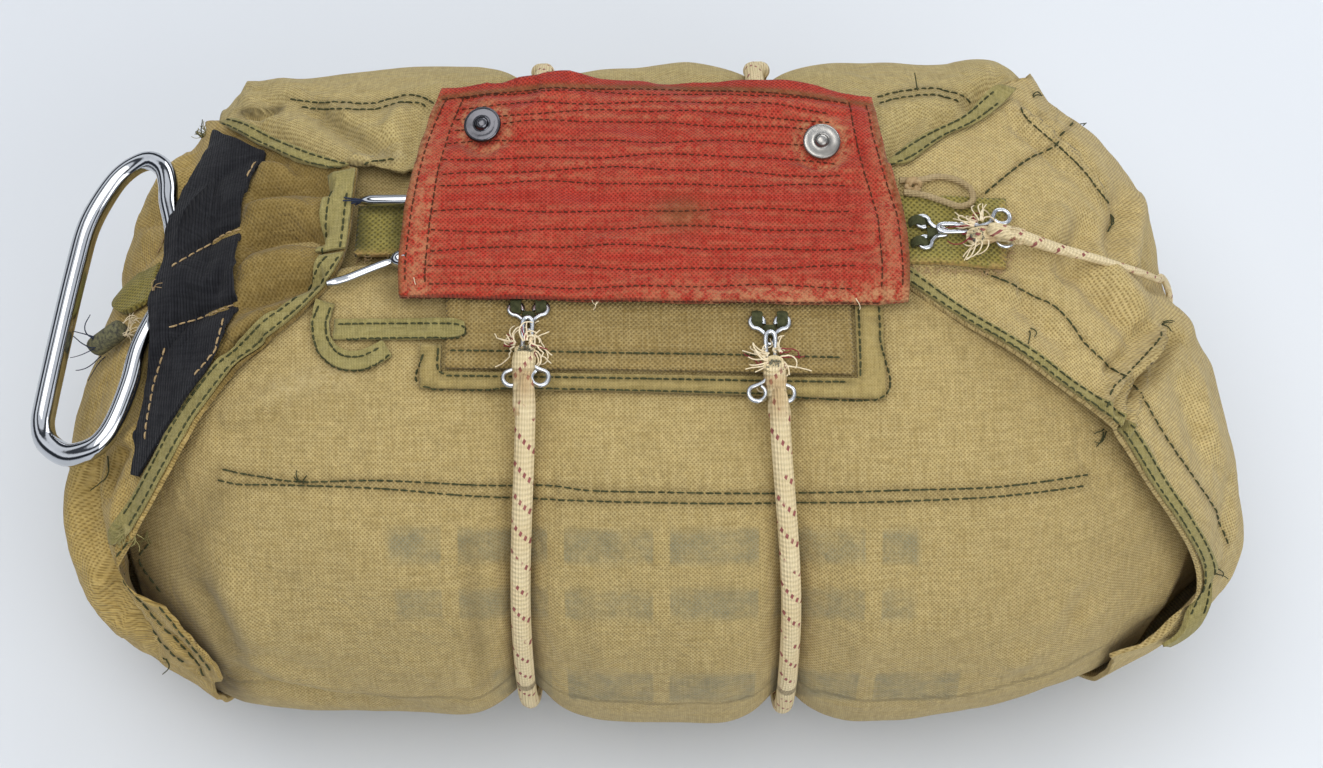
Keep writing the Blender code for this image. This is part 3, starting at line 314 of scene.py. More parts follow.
def elasticMaterial(name, look):
    # a braided cover with short coloured marks in slanting rows; its map runs across and along, in metres
    mat, tree, shader = newMaterial(name)
    body = objectPlace(tree)
    tones = opaque(look)
    split = addNode(tree, "ShaderNodeSeparateXYZ", {0: mapPlace(tree, "cloth")})
    across, along = (times(tree, split.outputs[k], 1000.0) for k in (0, 1))
    lean = times(tree, across, look["slant"])
    turn = calc(tree, "DIVIDE", calc(tree, "SUBTRACT", along, lean), look["spacing"])
    offset = calc(tree, "ABSOLUTE", calc(tree, "SUBTRACT", calc(tree, "FRACT", turn), 0.5))
    row = inverse(tree, ramp(tree, offset, 0.085, 0.115))
    tooth = calc(tree, "SINE", calc(tree, "MULTIPLY_ADD", across, 2.9, times(tree, along, 1.1)))
    lost = ramp(tree, noiseField(tree, body, 120.0, 2.0), 0.38, 0.46)
    fleck = times(tree, times(tree, row, ramp(tree, tooth, -0.1, 0.35)), lost)
    waves = []
    for way in (0.55, -0.55):
        slanted = times(tree, along, look["braid"] * way)
        waves.append(calc(tree, "SINE", calc(tree, "MULTIPLY_ADD", across, look["braid"], slanted)))
    braid = calc(tree, "MULTIPLY_ADD", times(tree, *waves), 0.5, 0.5)
    patches = ramp(tree, noiseField(tree, body, 60.0, 4.0, 0.65), 0.3, 0.7)
    colour = blendColour(tree, patches, tones["colour"], tones["second"])
    # painted shade: the braid's hollows are darkened towards the dark tone
    colour = blendColour(tree, times(tree, inverse(tree, braid), 0.5), colour, tones["dark"])
    colour = blendColour(tree, times(tree, fleck, 0.85), colour, tones["fleck"])
    # the mesh's dark mark: dirt together with painted shade
    colour = blendColour(tree, times(tree, painted(tree, "grime"), 0.7), colour, tones["grime"])
    setShader(tree, shader, colour, 0.9, 0.15)
    setBump(tree, shader, 0.85, 0.0006, braid)
    return mat


looks = {
    # pitch of the weave in mm; how strong the ribs, the sheen, the bumps and the creases are
    "canvas": {
        "colour": (0.440, 0.329, 0.134), "second": (0.396, 0.298, 0.121), "dark": (0.235, 0.165, 0.058),
        "pale": (0.575, 0.450, 0.215), "grime": (0.125, 0.088, 0.034), "worn": (0.57, 0.46, 0.25),
        "pitch": 0.66, "ink": (0.075, 0.125, 0.120)},
    "endCanvas": {
        "colour": (0.525, 0.398, 0.165), "second": (0.475, 0.362, 0.151), "dark": (0.245, 0.172, 0.062),
        "pale": (0.600, 0.475, 0.235), "grime": (0.120, 0.078, 0.022), "worn": (0.60, 0.49, 0.28),
        "pitch": 0.70, "crease": 0.5},
    # the front patch's cloth: partly its own darker cloth, partly painted shade of the shade that lies over
    # it
    "shadedPanelCanvas": {
        "colour": (0.305, 0.208, 0.070), "second": (0.272, 0.188, 0.064), "dark": (0.180, 0.125, 0.042),
        "pale": (0.490, 0.375, 0.170), "grime": (0.125, 0.088, 0.034), "worn": (0.50, 0.42, 0.25),
        "pitch": 0.80, "crease": 0.2, "bump": 0.9},
    "greyCanvas": {
        "colour": (0.465, 0.358, 0.146), "second": (0.420, 0.324, 0.132), "dark": (0.245, 0.182, 0.068),
        "pale": (0.590, 0.475, 0.225), "grime": (0.115, 0.085, 0.034), "worn": (0.52, 0.44, 0.26),
        "pitch": 0.70, "crease": 0.55},
    "brownCanvas": {
        "colour": (0.480, 0.335, 0.110), "second": (0.425, 0.300, 0.095), "dark": (0.235, 0.155, 0.043),
        "pale": (0.600, 0.450, 0.185), "grime": (0.110, 0.070, 0.018), "worn": (0.60, 0.48, 0.26),
        "pitch": 0.70, "crease": 0.6},
    "twillTape": {
        "colour": (0.355, 0.265, 0.096), "second": (0.395, 0.298, 0.112), "dark": (0.185, 0.135, 0.042),
        "pale": (0.470, 0.370, 0.160), "grime": (0.08, 0.062, 0.020), "worn": (0.50, 0.40, 0.20),
        "pitch": 0.5, "rib": 0.4},
    "oliveTape": {
        "colour": (0.285, 0.238, 0.082), "second": (0.320, 0.268, 0.100), "dark": (0.145, 0.120, 0.036),
        "pale": (0.400, 0.345, 0.150), "grime": (0.07, 0.060, 0.020), "worn": (0.43, 0.36, 0.18),
        "pitch": 0.5, "rib": 0.5},
    "oliveWebbing": {
        "colour": (0.300, 0.240, 0.052), "second": (0.340, 0.275, 0.066), "dark": (0.100, 0.088, 0.020),
        "pale": (0.34, 0.30, 0.105), "grime": (0.05, 0.045, 0.015), "worn": (0.52, 0.33, 0.12),
        "pitch": 0.95, "bump": 0.9, "crease": 0.2},
    "redCanvas": {
        "colour": (0.420, 0.027, 0.015), "second": (0.355, 0.023, 0.013), "dark": (0.175, 0.018, 0.010),
        "pale": (0.47, 0.068, 0.040), "grime": (0.15, 0.060, 0.020), "worn": (0.50, 0.25, 0.12),
        "pitch": 0.72, "bump": 0.7, "threads": 0.75, "crease": 0.3, "pitShade": 0.9},
    "blackElastic": {
        "colour": (0.0135, 0.014, 0.0165), "second": (0.018, 0.018, 0.021), "dark": (0.005, 0.005, 0.007),
        "pale": (0.036, 0.036, 0.040), "grime": (0.10, 0.085, 0.065), "worn": (0.16, 0.145, 0.13),
        "pitch": 0.9, "rib": 0.9, "bump": 0.8, "sheen": 0.06, "crease": 0.25},
}
cloths = {name: clothMaterial(name, look) for name, look in looks.items()}
# slant, spacing and braid: how far the coloured rows lean and lie apart, and how close the braid is
cloths["cordCover"] = elasticMaterial("cordCover", {
    "colour": (0.86, 0.72, 0.46), "second": (0.79, 0.64, 0.38), "dark": (0.50, 0.39, 0.19),
    "fleck": (0.25, 0.022, 0.05), "grime": (0.42, 0.24, 0.10), "slant": 1.1, "spacing": 10.0, "braid": 3.4})
cloths["loopCover"] = elasticMaterial("loopCover", {
    "colour": (0.52, 0.40, 0.22), "second": (0.44, 0.33, 0.17), "dark": (0.25, 0.17, 0.08),
    "fleck": (0.40, 0.30, 0.16), "grime": (0.30, 0.20, 0.10), "slant": 0.5, "spacing": 4.0, "braid": 4.6})
metals = {name: metalMaterial(name, look) for name, look in {
    "gripChrome": {"colour": (0.56, 0.57, 0.59), "rough": 0.045, "scuffs": 0.09, "dull": 0.9},
    "wireSteel": {"colour": (0.62, 0.64, 0.66), "rough": 0.20, "scuffs": 0.2},
    "studNickel": {"colour": (0.11, 0.11, 0.12), "rough": 0.14, "scuffs": 0.2, "dull": 0.45, "bump": 0.3},
    "brightNickel": {"colour": (0.44, 0.42, 0.39), "rough": 0.22, "scuffs": 0.25, "dull": 0.45,
                     "bump": 0.3},
}.items()}
yarns = {name: threadMaterial(name, *tones) for name, tones in {
    "darkThread": ((0.036, 0.040, 0.016), (0.075, 0.078, 0.034)),
    "tanThread": ((0.36, 0.24, 0.11), (0.46, 0.33, 0.18)),
    "quiltThread": ((0.060, 0.018, 0.010), (0.105, 0.040, 0.018)),
    "creamThread": ((0.88, 0.77, 0.55), (0.74, 0.60, 0.38)),
    "crimsonThread": ((0.30, 0.03, 0.04), (0.22, 0.03, 0.05)),
    "oliveThread": ((0.24, 0.22, 0.08), (0.33, 0.28, 0.12)),
    "coreRubber": ((0.30, 0.29, 0.18), (0.10, 0.09, 0.08)),
    "stubCore": ((0.20, 0.19, 0.095), (0.055, 0.052, 0.045)),
    "blueThread": ((0.020, 0.026, 0.050), (0.035, 0.045, 0.075)),
}.items()}
print("materials ready")


# places, runs and folds

def smoothRun(run, step, closed=False):
    # an even line of places through a few given ones
    given = np.array(run, dtype=float)
    count = len(given)
    parts = []
    for i in range(count if closed else count - 1):
        here, there = given[i], given[(i + 1) % count]
        before = given[i - 1] if closed or i else 2 * here - there
        after = given[(i + 2) % count] if closed or i + 2 < count else 2 * there - here
        t = np.linspace(0.0, 1.0, 9)[:-1, None]
        square = 2 * before - 5 * here + 4 * there - after
        cube = 3 * here - before - 3 * there + after
        parts.append(0.5 * (2 * here + (there - before) * t + square * t ** 2 + cube * t ** 3))
    dense = np.vstack(parts + [given[:1] if closed else given[-1:]])
    reach = np.concatenate(([0.0], np.cumsum(np.linalg.norm(np.diff(dense, axis=0), axis=1))))
    places = np.linspace(0.0, reach[-1], max(int(round(reach[-1] / step)), 2) + 1)
    even = np.stack([np.interp(places, reach, dense[:, k]) for k in range(dense.shape[1])], 1)
    return even[:-1] if closed else even


def runDistance(x, v, line, spread):
    # which places are near a run, how far off it they are, and their share of its length
    low, high = line.min(0) - spread, line.max(0) + spread
    close = np.flatnonzero((x > low[0]) & (x < high[0]) & (v > low[1]) & (v < high[1]))
    nearX, nearV = x[close], v[close]
    nearest = np.full(len(close), 1e9)
    share = np.zeros(len(close))
    for k, (a, b) in enumerate(zip(line, line[1:])):
        dx, dv = b - a
        along = (nearX - a[0]) * dx + (nearV - a[1]) * dv
        t = np.clip(along / max(dx * dx + dv * dv, 1e-9), 0.0, 1.0)
        gap = np.hypot(nearX - a[0] - t * dx, nearV - a[1] - t * dv)
        better = gap < nearest
        nearest[better] = gap[better]
        share[better] = ((k + t) / (len(line) - 1))[better]
    return close, nearest, share


def bell(gap, width):
    return np.exp(-(gap / width) ** 2)


def eased(t):
    # a soft start and a soft end between 0 and 1
    return t ** 2 * (3.0 - 2.0 * t)


def softWaves(points, seed, shortest, longest, size, creased):
    # a slow unrest of the cloth, the same for all that lies on one flap
    rng = np.random.default_rng(seed)
    bent = points + 5.0 * np.sin(points[:, [1, 2, 0]] / 21.0 + seed)
    total = np.zeros(len(points))
    for wavelength in np.geomspace(shortest, longest, 16):
        way = rng.normal(size=3)
        way *= 2 * math.pi / wavelength / np.linalg.norm(way)
        wave = np.sin(bent @ way + rng.uniform(0.0, 2 * math.pi))
        share = (wavelength / longest) ** 1.15
        total += size * share * ((1.0 - creased) * wave + creased * (0.64 - np.abs(wave)) * 1.6)
    return total


folds = {
    # waves: seed, shortest, longest, height, sharpness
    # creases: half width, height (a trough is below 0), run of (x, v)
    "body": {
        "waves": (11, 14.0, 62.0, 0.42, 0.2), "strength": 1.8,
        "creases": [
            (4.0, 1.6, [(-139, -11), (-131, -8), (-118.5, -2.5), (-108, 0.5), (-96.5, 3.5)]),
            (3.5, -0.9, [(-141, -18), (-130, -15.5), (-118, -10)]),
            (2.2, 0.8, [(-121.5, 13), (-114.5, 14.5)]),
            (3.0, -1.8, [(-140, -92), (-131.5, -98), (-121.5, -101), (-104.5, -105), (-78, -106.5)]),
            (4.0, 1.2, [(-134, -88), (-118, -95), (-100, -99)]),
            (3.5, -1.3, [(-148, -62), (-141, -76), (-138, -88)]),
            (5.0, 1.3, [(-140, -55), (-132, -72), (-128, -86)]),
            (5.0, -1.2, [(118, -88), (130, -78), (139, -64)]),
            (5.0, 1.2, [(108, -92), (122, -86), (131, -74)]),
            (3.5, -1.0, [(-60, -44), (-59, -70), (-60, -95)]),
            (5.0, -0.9, [(-30, -60), (-26, -80), (-28, -100)]),
            (6.0, 0.9, [(60, -50), (64, -72), (60, -96)]),
            (2.6, 1.0, [(-150.5, 92), (-150.5, 99), (-141, 101.5), (-133.5, 100), (-126, 98)]),
            (1.7, -3.2, [(-144.5, 94), (-138.5, 93.5), (-131.5, 94.5)]),
            (3.0, -1.8, [(-143, 106), (-141.5, 104.5), (-136, 99.5), (-130, 96)]),
            (3.2, 1.2, [(-136, 107), (-128, 103), (-122, 100)]),
            (3.6, -2.2, [(-120, 95.5), (-110.5, 88), (-99.5, 79.5), (-89, 74), (-82.5, 71.5)]),
            (3.6, 1.3, [(-116, 98), (-104, 88), (-92, 81)]),
            (3.2, -1.6, [(-107.5, 90), (-98, 84), (-88, 78)]),
            (3.5, -1.8, [(-140.5, 90.5), (-130.5, 84.5), (-121.5, 77.5), (-113, 72)]),
            (3.5, -1.6, [(-80.5, 94), (-83, 83.5), (-83, 73)]),
            (3.0, 1.0, [(-88, 96), (-90, 88), (-92, 82)]),
            (1.6, 1.3, [(-103, 65), (-102.5, 71), (-97.5, 75), (-87.5, 76.5)]),
            (3.4, -2.4, [(-99, 63), (-93, 66), (-84, 67)]),
            (3.0, -2.2, [(103.5, 91), (110.5, 99), (116.5, 107), (117.5, 114)]),
            (3.5, 1.2, [(108, 88), (116, 97), (123, 106)]),
            (5.0, -1.2, [(103.5, 112.5), (95.5, 109.5), (84.5, 107.5)]),
            (3.6, -1.5, [(88.5, 92), (82, 86), (74.5, 71)]),
            (5.0, 1.7, [(104.5, 90), (100.5, 82), (90, 79), (77, 72)]),
            (3.0, -1.2, [(98, 93), (92, 85), (84, 78)]),
            (5.5, -1.0, [(-30, 107), (-8, 104), (10, 106)]),
            (5.0, -1.1, [(-56, 104), (-50, 99), (-40, 98)]),
        ],
    },
    "left": {
        "waves": (23, 9.0, 44.0, 0.50, 0.4), "strength": 2.3,
        "creases": [
            (3.4, -3.4, [(-137, 45.5), (-127, 49.5), (-119, 50), (-108, 48)]),
            (3.2, 1.6, [(-136, 55), (-126, 56.5), (-113, 56)]),
            (3.2, -2.6, [(-136, 61), (-130, 62.5), (-124, 65), (-116, 65.5), (-107, 64)]),
            (3.0, 1.4, [(-133, 70), (-122, 71.5)]),
            (3.4, -2.6, [(-137, 24), (-133, 26), (-125, 29), (-117, 32), (-108, 35)]),
            (3.6, 1.8, [(-136, 37), (-126, 39.5), (-115, 41)]),
            (2.8, -1.6, [(-134, 74), (-128, 74), (-117, 70), (-108.5, 66)]),
            (3.4, 1.4, [(-137, 15), (-130, 19), (-122, 23.5)]),
            (2.8, -1.5, [(-139, 8), (-133, 11), (-126, 15)]),
            (3.6, -2.6, [(-136, 43), (-135, 42.5), (-134, 42.8)]),
            (4.0, -2.0, [(-158.5, 84), (-161.5, 78), (-166, 63), (-179.5, 55)]),
            (5.0, 1.6, [(-166, 82), (-173, 68), (-184, 52)]),
            (3.5, -1.6, [(-168, 50), (-178, 42), (-190, 30)]),
            (4.0, 1.2, [(-172, 36), (-182, 26), (-192, 12)]),
            (3.6, -2.8, [(-183, -17), (-184, -24.5), (-186.5, -34), (-184, -48.5), (-178, -60), (-174, -73),
                         (-167.5, -86), (-166, -92.5)]),
            (5.5, 2.0, [(-190, -22), (-193, -38), (-190, -54), (-184, -68), (-176, -82)]),
            (2.6, -1.8, [(-179, -58), (-179, -70), (-177, -77.5)]),
            (3.0, 1.5, [(-174.5, -30), (-173, -45), (-168, -60), (-160, -72)]),
            (2.6, -2.0, [(-171, -20), (-176, -28), (-178, -38)]),
            (3.0, 1.4, [(-167, -14), (-173, -17), (-181, -14)]),
            (2.5, -1.2, [(-160, -80), (-154, -88), (-152, -96)]),
        ],
    },
    "right": {
        "waves": (37, 11.0, 56.0, 0.50, 0.3), "strength": 2.1,
        "creases": [
            (1.5, 2.4, [(140, -15), (147, -4), (154, 7), (163, 18)]),
            (1.5, 2.2, [(144.5, -16.5), (151, -4), (158, 6), (165.5, 17)]),
            (1.3, -2.2, [(142.5, -15), (149, -4), (156, 6), (164, 17)]),
            (1.9, 2.2, [(119, 97.5), (121, 91), (132, 80.5), (139, 72.5), (144.5, 65), (152, 57)]),
            (2.6, -1.6, [(124, 96), (128, 89), (138, 79), (146, 69), (154, 61)]),
            (2.4, -1.0, [(116, 90), (127, 79), (136, 68)]),
            (5.0, -2.6, [(142, 56), (138.5, 49), (134.5, 41), (128, 34)]),
            (4.6, 1.6, [(132, 58), (127, 50), (121, 43)]),
            (4.4, -2.4, [(134, 39), (142.5, 28.5), (149, 20.5), (152, 14)]),
            (5.0, 1.8, [(144, 40), (152, 29), (158, 22)]),
            (4.6, -2.2, [(158, 68), (152.5, 53.5), (149, 39.5)]),
            (5.0, 1.8, [(166, 66), (160, 50), (156, 38)]),
            (4.4, -1.8, [(172, 58), (166, 44), (164, 30)]),
            (6.0, 1.4, [(182, 40), (176, 26), (174, 12)]),
            (1.9, 2.5, [(163, 19.5), (161, 15), (149, 4), (143.5, 0), (138.5, -7), (141, -13.5)]),
            (3.4, -2.2, [(169, 17), (160, 8), (150, -2), (146, -9)]),
            (2.6, -1.6, [(158, 20), (150, 11), (141, 3)]),
            (5.0, 1.4, [(176, 8), (180, -10), (184, -28)]),
            (4.6, -1.6, [(168, 4), (173, -12), (180, -28)]),
            (4.2, -1.4, [(190, -30), (186, -44), (182, -56)]),
            (3.6, -1.6, [(112, 30), (122, 18), (130, 10)]),
            (3.6, 1.2, [(108, 34), (116, 26)]),
            (2.8, -1.6, [(184, -58), (179, -68), (170, -78), (158, -84)]),
        ],
    },
}

# sewn lines: on which flap and with which thread, then stitch pitch and run of (x, v)
sewnRuns = {
    ("body", "darkThread"): [
        (2.9, [(-139, -26.5), (-132, -28), (-125, -29), (-112, -30.5), (-87.5, -30), (-55, -31.5),
               (-35, -31.5), (-22, -33), (-1, -33.5), (37, -34), (74, -33), (105.5, -32), (135, -28.5)]),
        (2.9, [(-140, -30), (-132, -31.5), (-121, -31.5), (-87.5, -32.5), (-55, -35), (-1, -36.8),
               (42.5, -37), (74, -36.4), (105.5, -35), (134, -32)]),
        (2.6, [(-128.5, 98), (-123.5, 97), (-116.5, 96), (-107.5, 95.5), (-98.5, 95), (-92.5, 96.5),
               (-87, 98), (-82, 97.5), (-75.5, 94)]),
        (2.6, [(-123, 94.5), (-116, 93.6), (-107, 92.8), (-98, 92.6), (-92, 94), (-87, 95), (-81.5, 94.8),
               (-78.5, 92.5)]),
        (2.6, [(72.5, 97), (81, 99.5), (91.5, 101), (98, 99.5), (103, 97.5), (106, 94)]),
        (2.6, [(72.5, 94.4), (81, 97), (91.5, 98.3), (98, 96.8), (103, 94.5)]),
        (2.4, [(-67, 10.5), (-40, 10.2), (-14, 9.7), (20, 9.2), (58, 8.2)]),
        (2.4, [(-68.5, 2.6), (-40, 2.2), (-14, 1.8), (30, 1.0), (60, 0.6)]),
        (2.4, [(-74.8, 10), (-74.6, -0.8), (-40, -1.4), (-10, -2.0), (30, -3.0), (68.8, -4.2), (68.9, 14),
               (68.9, 30)]),
        (2.4, [(-70.2, 12), (-70.0, 4.4), (-66, 2.8)]),
        (2.4, [(62.4, 30), (62.4, 14), (62.2, 2.4)]),
        (2.3, [(-103, 18.9), (-90, 19.1), (-70, 19.1), (-63.5, 18.6), (-61.8, 16.9), (-63.5, 15.0),
               (-70, 14.6), (-90, 14.4), (-101, 14.2)]),
        (2.3, [(-109, 25), (-110.6, 19), (-108.6, 11), (-103, 5.6), (-95.5, 4.4), (-89, 6.6), (-85, 9.6)]),
        (2.3, [(-105, 25), (-106.4, 19.2), (-105, 13.4), (-101, 9.2), (-95.5, 8.6), (-91, 10.2),
               (-88, 12.4)]),
        (2.6, [(-100.5, 66.5), (-100, 70), (-96.5, 73), (-88, 74.5)]),
    ],
    ("left", "darkThread"): [
        (3.4, [(-165, -51), (-169.5, -57.5), (-161.5, -68.5), (-154.5, -78), (-148.8, -87), (-146, -95)]),
        (3.4, [(-168.5, -50), (-173.5, -58.5), (-165, -71.5), (-158, -81), (-152, -90), (-149, -98)]),
        (3.0, [(-171, -72), (-163, -83), (-155, -92)]),
    ],
    ("left", "tanThread"): [
        (3.2, [(-157.5, 60), (-165, 52), (-171, 44)]),
    ],
    ("right", "darkThread"): [
        (3.1, [(102, 36.5), (112.5, 31.5), (120.5, 27.5), (125.5, 25), (130, 20), (135.5, 12), (146, 3),
               (151, 0), (158.5, -13.5), (171, -30), (182, -43), (188, -53.5)]),
        (3.1, [(142.5, 90.5), (134.5, 83.5), (131.5, 79.5), (120, 73.5), (103.5, 60.5)]),
        (2.3, [(121.2, 95.5), (122.5, 90), (133, 79.6), (140.5, 71.5), (146, 64), (152.6, 57)]),
        (2.3, [(162.5, 18), (160, 14), (148, 3.2), (142.5, -1), (138.4, -8)]),
    ],
    ("pocket", "tanThread"): [
        (2.7, [(-158, 37), (-151, 43), (-143.5, 48.5), (-137.5, 50.6)]),
        (2.7, [(-157.5, 18), (-147, 21.5), (-137, 25.4)]),
        (3.0, [(-158.5, 11.5), (-161, 4), (-162.5, -4), (-163.5, -20)]),
        (3.0, [(-139.4, 21.5), (-139.6, 17), (-141.5, 10), (-148, 2)]),
        (3.0, [(-134.5, 74.5), (-137, 67.5)]),
    ],
}
seams = [(field, yarn, *row) for (field, yarn), rows in sewnRuns.items() for row in rows]
seamGroove = {"width": 1.7, "depth": 0.5, "pucker": 0.28, "reach": 4.5, "ripple": 6.0}


def foldField(field, points, x, v):
    look = folds[field]
    seed, shortest, longest, height, sharp = look["waves"]
    total = softWaves(points, seed, shortest, longest, height, sharp)
    seen = np.clip((outward(points) @ outRow + 0.15) / 0.4, 0.0, 1.0)
    near = np.zeros(len(x))
    for width, height, run in look["creases"]:
        close, gap, share = runDistance(x, v, smoothRun(run, 4.0), 4.0 * width)
        ends = np.sqrt(np.clip(5.0 * share * (1.0 - share), 0.0, 1.0))
        shape = 1.3 * bell(gap, width) - 0.3 * bell(gap / width, 2.2)
        near[close] += look["strength"] * height * ends * shape
    groove = seamGroove
    for host, _, _, run in seams:
        if host != field:
            continue
        line = smoothRun(run, 3.0)
        close, gap, share = runDistance(x, v, line, 3.0 * groove["reach"])
        length = 3.0 * len(line)
        near[close] -= groove["depth"] * bell(gap, groove["width"])
        ripple = np.sin(share * length * 2 * math.pi / groove["ripple"] + 2.0 * np.sin(share * length / 11.0))
        near[close] += groove["pucker"] * ripple * bell(gap, groove["reach"])
    return total + near * seen


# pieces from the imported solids

def girth(y, z):
    # length of cloth round the pack from its far side to the place
    turns = np.linspace(-math.pi, math.pi, 721)
    power = 2.6
    sides = ((pack["halfWide"], np.cos(turns)), (pack["halfHigh"], np.sin(turns)))
    ring = np.stack([half * np.sign(part) * np.abs(part) ** (2 / power) for half, part in sides], 1)
    steps = np.hypot(*np.diff(ring, axis=0).T)
    reach = np.concatenate(([0.0], np.cumsum(steps)))
    angles = np.unwrap(np.arctan2(ring[:, 1], ring[:, 0]))
    return np.interp(np.arctan2(z - middleRow[2], y), angles, reach)


def clothPlaces(points, weave):
    # the cloth's own flat coordinates, in metres
    x, y, z = (points - middleRow * (1.0, 1.0, 0.0)).T
    if weave == "end":
        over = np.arctan2(z - middleRow[2], np.abs(x) - 105.0)
        flat = np.stack((y, over * 88.0), 1)
    elif weave == "cord":
        way = girth(y, z)
        flat = np.stack((x - np.polyval(np.polyfit(way, x, 6), way), way), 1)
    elif weave == "endCord":
        way = x - 0.9 * z
        flat = np.stack((y - np.polyval(np.polyfit(way, y, 5), way), way), 1)
    else:
        flat = np.stack((x, girth(y, z)), 1)
    turn = math.radians({"end": 4.0, "body": 1.5}.get(weave, 0.0))
    return np.stack((flat[:, 0] * math.cos(turn) - flat[:, 1] * math.sin(turn),
                     flat[:, 0] * math.sin(turn) + flat[:, 1] * math.cos(turn)), 1) * mm


def outward(points):
    # away from the pack's long middle line
    away = points - middleRow
    away[:, 0] *= 0.25
    return away / np.maximum(np.linalg.norm(away, axis=1), 1e-9)[:, None]


def boardPlaces(points):
    away = points - middleRow
    return away[:, 0], away @ upRow


def objectMesh(draft):
    # the mesh that an object's curve or modifiers give; the object goes
    bpy.context.collection.objects.link(draft)
    graph = bpy.context.evaluated_depsgraph_get()
    graph.update()
    mesh = bpy.data.meshes.new_from_object(draft.evaluated_get(graph))
    bpy.data.objects.remove(draft)
    return mesh


def softCopy(node, levels, crisp):
    # a solid as one finely divided closed mesh; crisp keeps its sharp edges
    bm = bmesh.new()
    bm.from_mesh(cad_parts[node].data)
    bmesh.ops.remove_doubles(bm, verts=bm.verts, dist=weld)
    bmesh.ops.join_triangles(bm, faces=bm.faces, angle_face_threshold=0.8, angle_shape_threshold=1.2)
    crease = bm.edges.layers.float.new("crease_edge")
    for edge in bm.edges:
        if crisp and len(edge.link_faces) == 2 and edge.calc_face_angle(0.0) > 1.05:
            edge[crease] = 1.0
    mesh = bpy.data.meshes.new("draft")
    bm.to_mesh(mesh)
    bm.free()
    draft = bpy.data.objects.new("draft", mesh)
    finer = draft.modifiers.new("finer", "SUBSURF")
    finer.levels = finer.render_levels = levels
    finer.boundary_smooth = "PRESERVE_CORNERS"
    return objectMesh(draft)


def readPoints(mesh):
    points = np.empty(len(mesh.vertices) * 3)
    mesh.vertices.foreach_get("co", points)
    return points.reshape(-1, 3) / mm


def writePoints(mesh, points):
    mesh.vertices.foreach_set("co", (points * mm).ravel())
    mesh.update()


def addValues(mesh, name, values):
    layer = mesh.attributes.get(name) or mesh.attributes.new(name, "FLOAT", "POINT")
    layer.data.foreach_set("value", np.clip(values, 0.0, 1.0).astype(np.float32))


def addMap(mesh, name, flat):
    corners = np.empty(len(mesh.loops), dtype=np.int32)
    mesh.loops.foreach_get("vertex_index", corners)
    layer = mesh.uv_layers.get(name) or mesh.uv_layers.new(name=name)
    layer.data.foreach_set("uv", flat[corners].astype(np.float32).ravel())


def capital(word):
    return word[0].upper() + word[1:]


def finishPiece(name, mesh, material, node=None, weave=None):
    if weave:
        addMap(mesh, "cloth", clothPlaces(readPoints(mesh), weave))
        for mark in ("grime", "wear"):
            if mark not in mesh.attributes:
                addValues(mesh, mark, np.zeros(len(mesh.vertices)))
    mesh.name = name
    mesh.materials.clear()
    mesh.materials.append(material)
    mesh.shade_smooth()
    piece = bpy.data.objects.new(name, mesh)
    bpy.context.collection.objects.link(piece)
    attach(piece, "root")
    if node:
        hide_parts(node)
    return piece


def surfaceTree(meshes):
    points, faces = [], []
    for mesh in meshes:
        base = len(points)
        points += [Vector(p) for p in readPoints(mesh)]
        faces += [tuple(base + k for k in face.vertices) for face in mesh.polygons]
    return BVHTree.FromPolygons(points, faces)


# cloth: node, finish, slot, levels of division, weave, folds
clothPieces = {
    "packBody": ("pack_body", "canvas", "canvas", 2, "body", "body"),
    "lowerFlap": ("lower_flap", "canvas", "canvas", 3, "body", "body"),
    "upperFlap": ("upper_flap", "greyCanvas", "canvas", 3, "body", "body"),
    "leftFlap": ("left_flap", "brownCanvas", "canvas", 3, "end", "left"),
    "rightFlap": ("right_flap", "endCanvas", "canvas", 3, "end", "right"),
    "leftTapeFar": ("left_tape_far", "oliveTape", "olive_tape", 3, "body", "left"),
    "leftTapeEnd": ("left_tape_end", "oliveTape", "olive_tape", 3, "body", "left"),
    "leftTapeNear": ("left_tape_near", "oliveTape", "olive_tape", 3, "body", "left"),
    "rightTapeFar": ("right_tape_far", "oliveTape", "olive_tape", 3, "body", "right"),
    "rightTapeNear": ("right_tape_near", "oliveTape", "olive_tape", 3, "body", "right"),
    "leftStrap": ("left_strap", "oliveWebbing", "olive_webbing", 3, "body", "body"),
    "rightStrap": ("right_strap", "oliveWebbing", "olive_webbing", 3, "body", "body"),
    "leftPatch": ("left_patch", "oliveWebbing", "olive_webbing", 3, "body", "left"),
    "frontPatch": ("front_patch", "shadedPanelCanvas", "canvas", 3, "body", "body"),
    "patchFrame": ("patch_frame", "twillTape", "olive_tape", 3, "body", "body"),
    "cornerBinding": ("corner_binding", "oliveTape", "olive_tape", 3, "body", "body"),
    "tapeTab": ("tape_tab", "oliveTape", "olive_tape", 3, "body", "body"),
    "gripPocket": ("grip_pocket", "blackElastic", "black_elastic", 4, "body", "left"),
    "protectorFlap": ("protector_flap", "redCanvas", "red_canvas", 4, "body", "body"),
    "elasticLeft": ("elastic_left", "cordCover", "cord_cover", 2, "cord", "body"),
    "elasticRight": ("elastic_right", "cordCover", "cord_cover", 2, "cord", "body"),
    "elasticEnd": ("elastic_end", "cordCover", "cord_cover", 2, "endCord", "right"),
    "elasticStub": ("elastic_stub", "cordCover", "cord_cover", 2, "endCord", "left"),
}
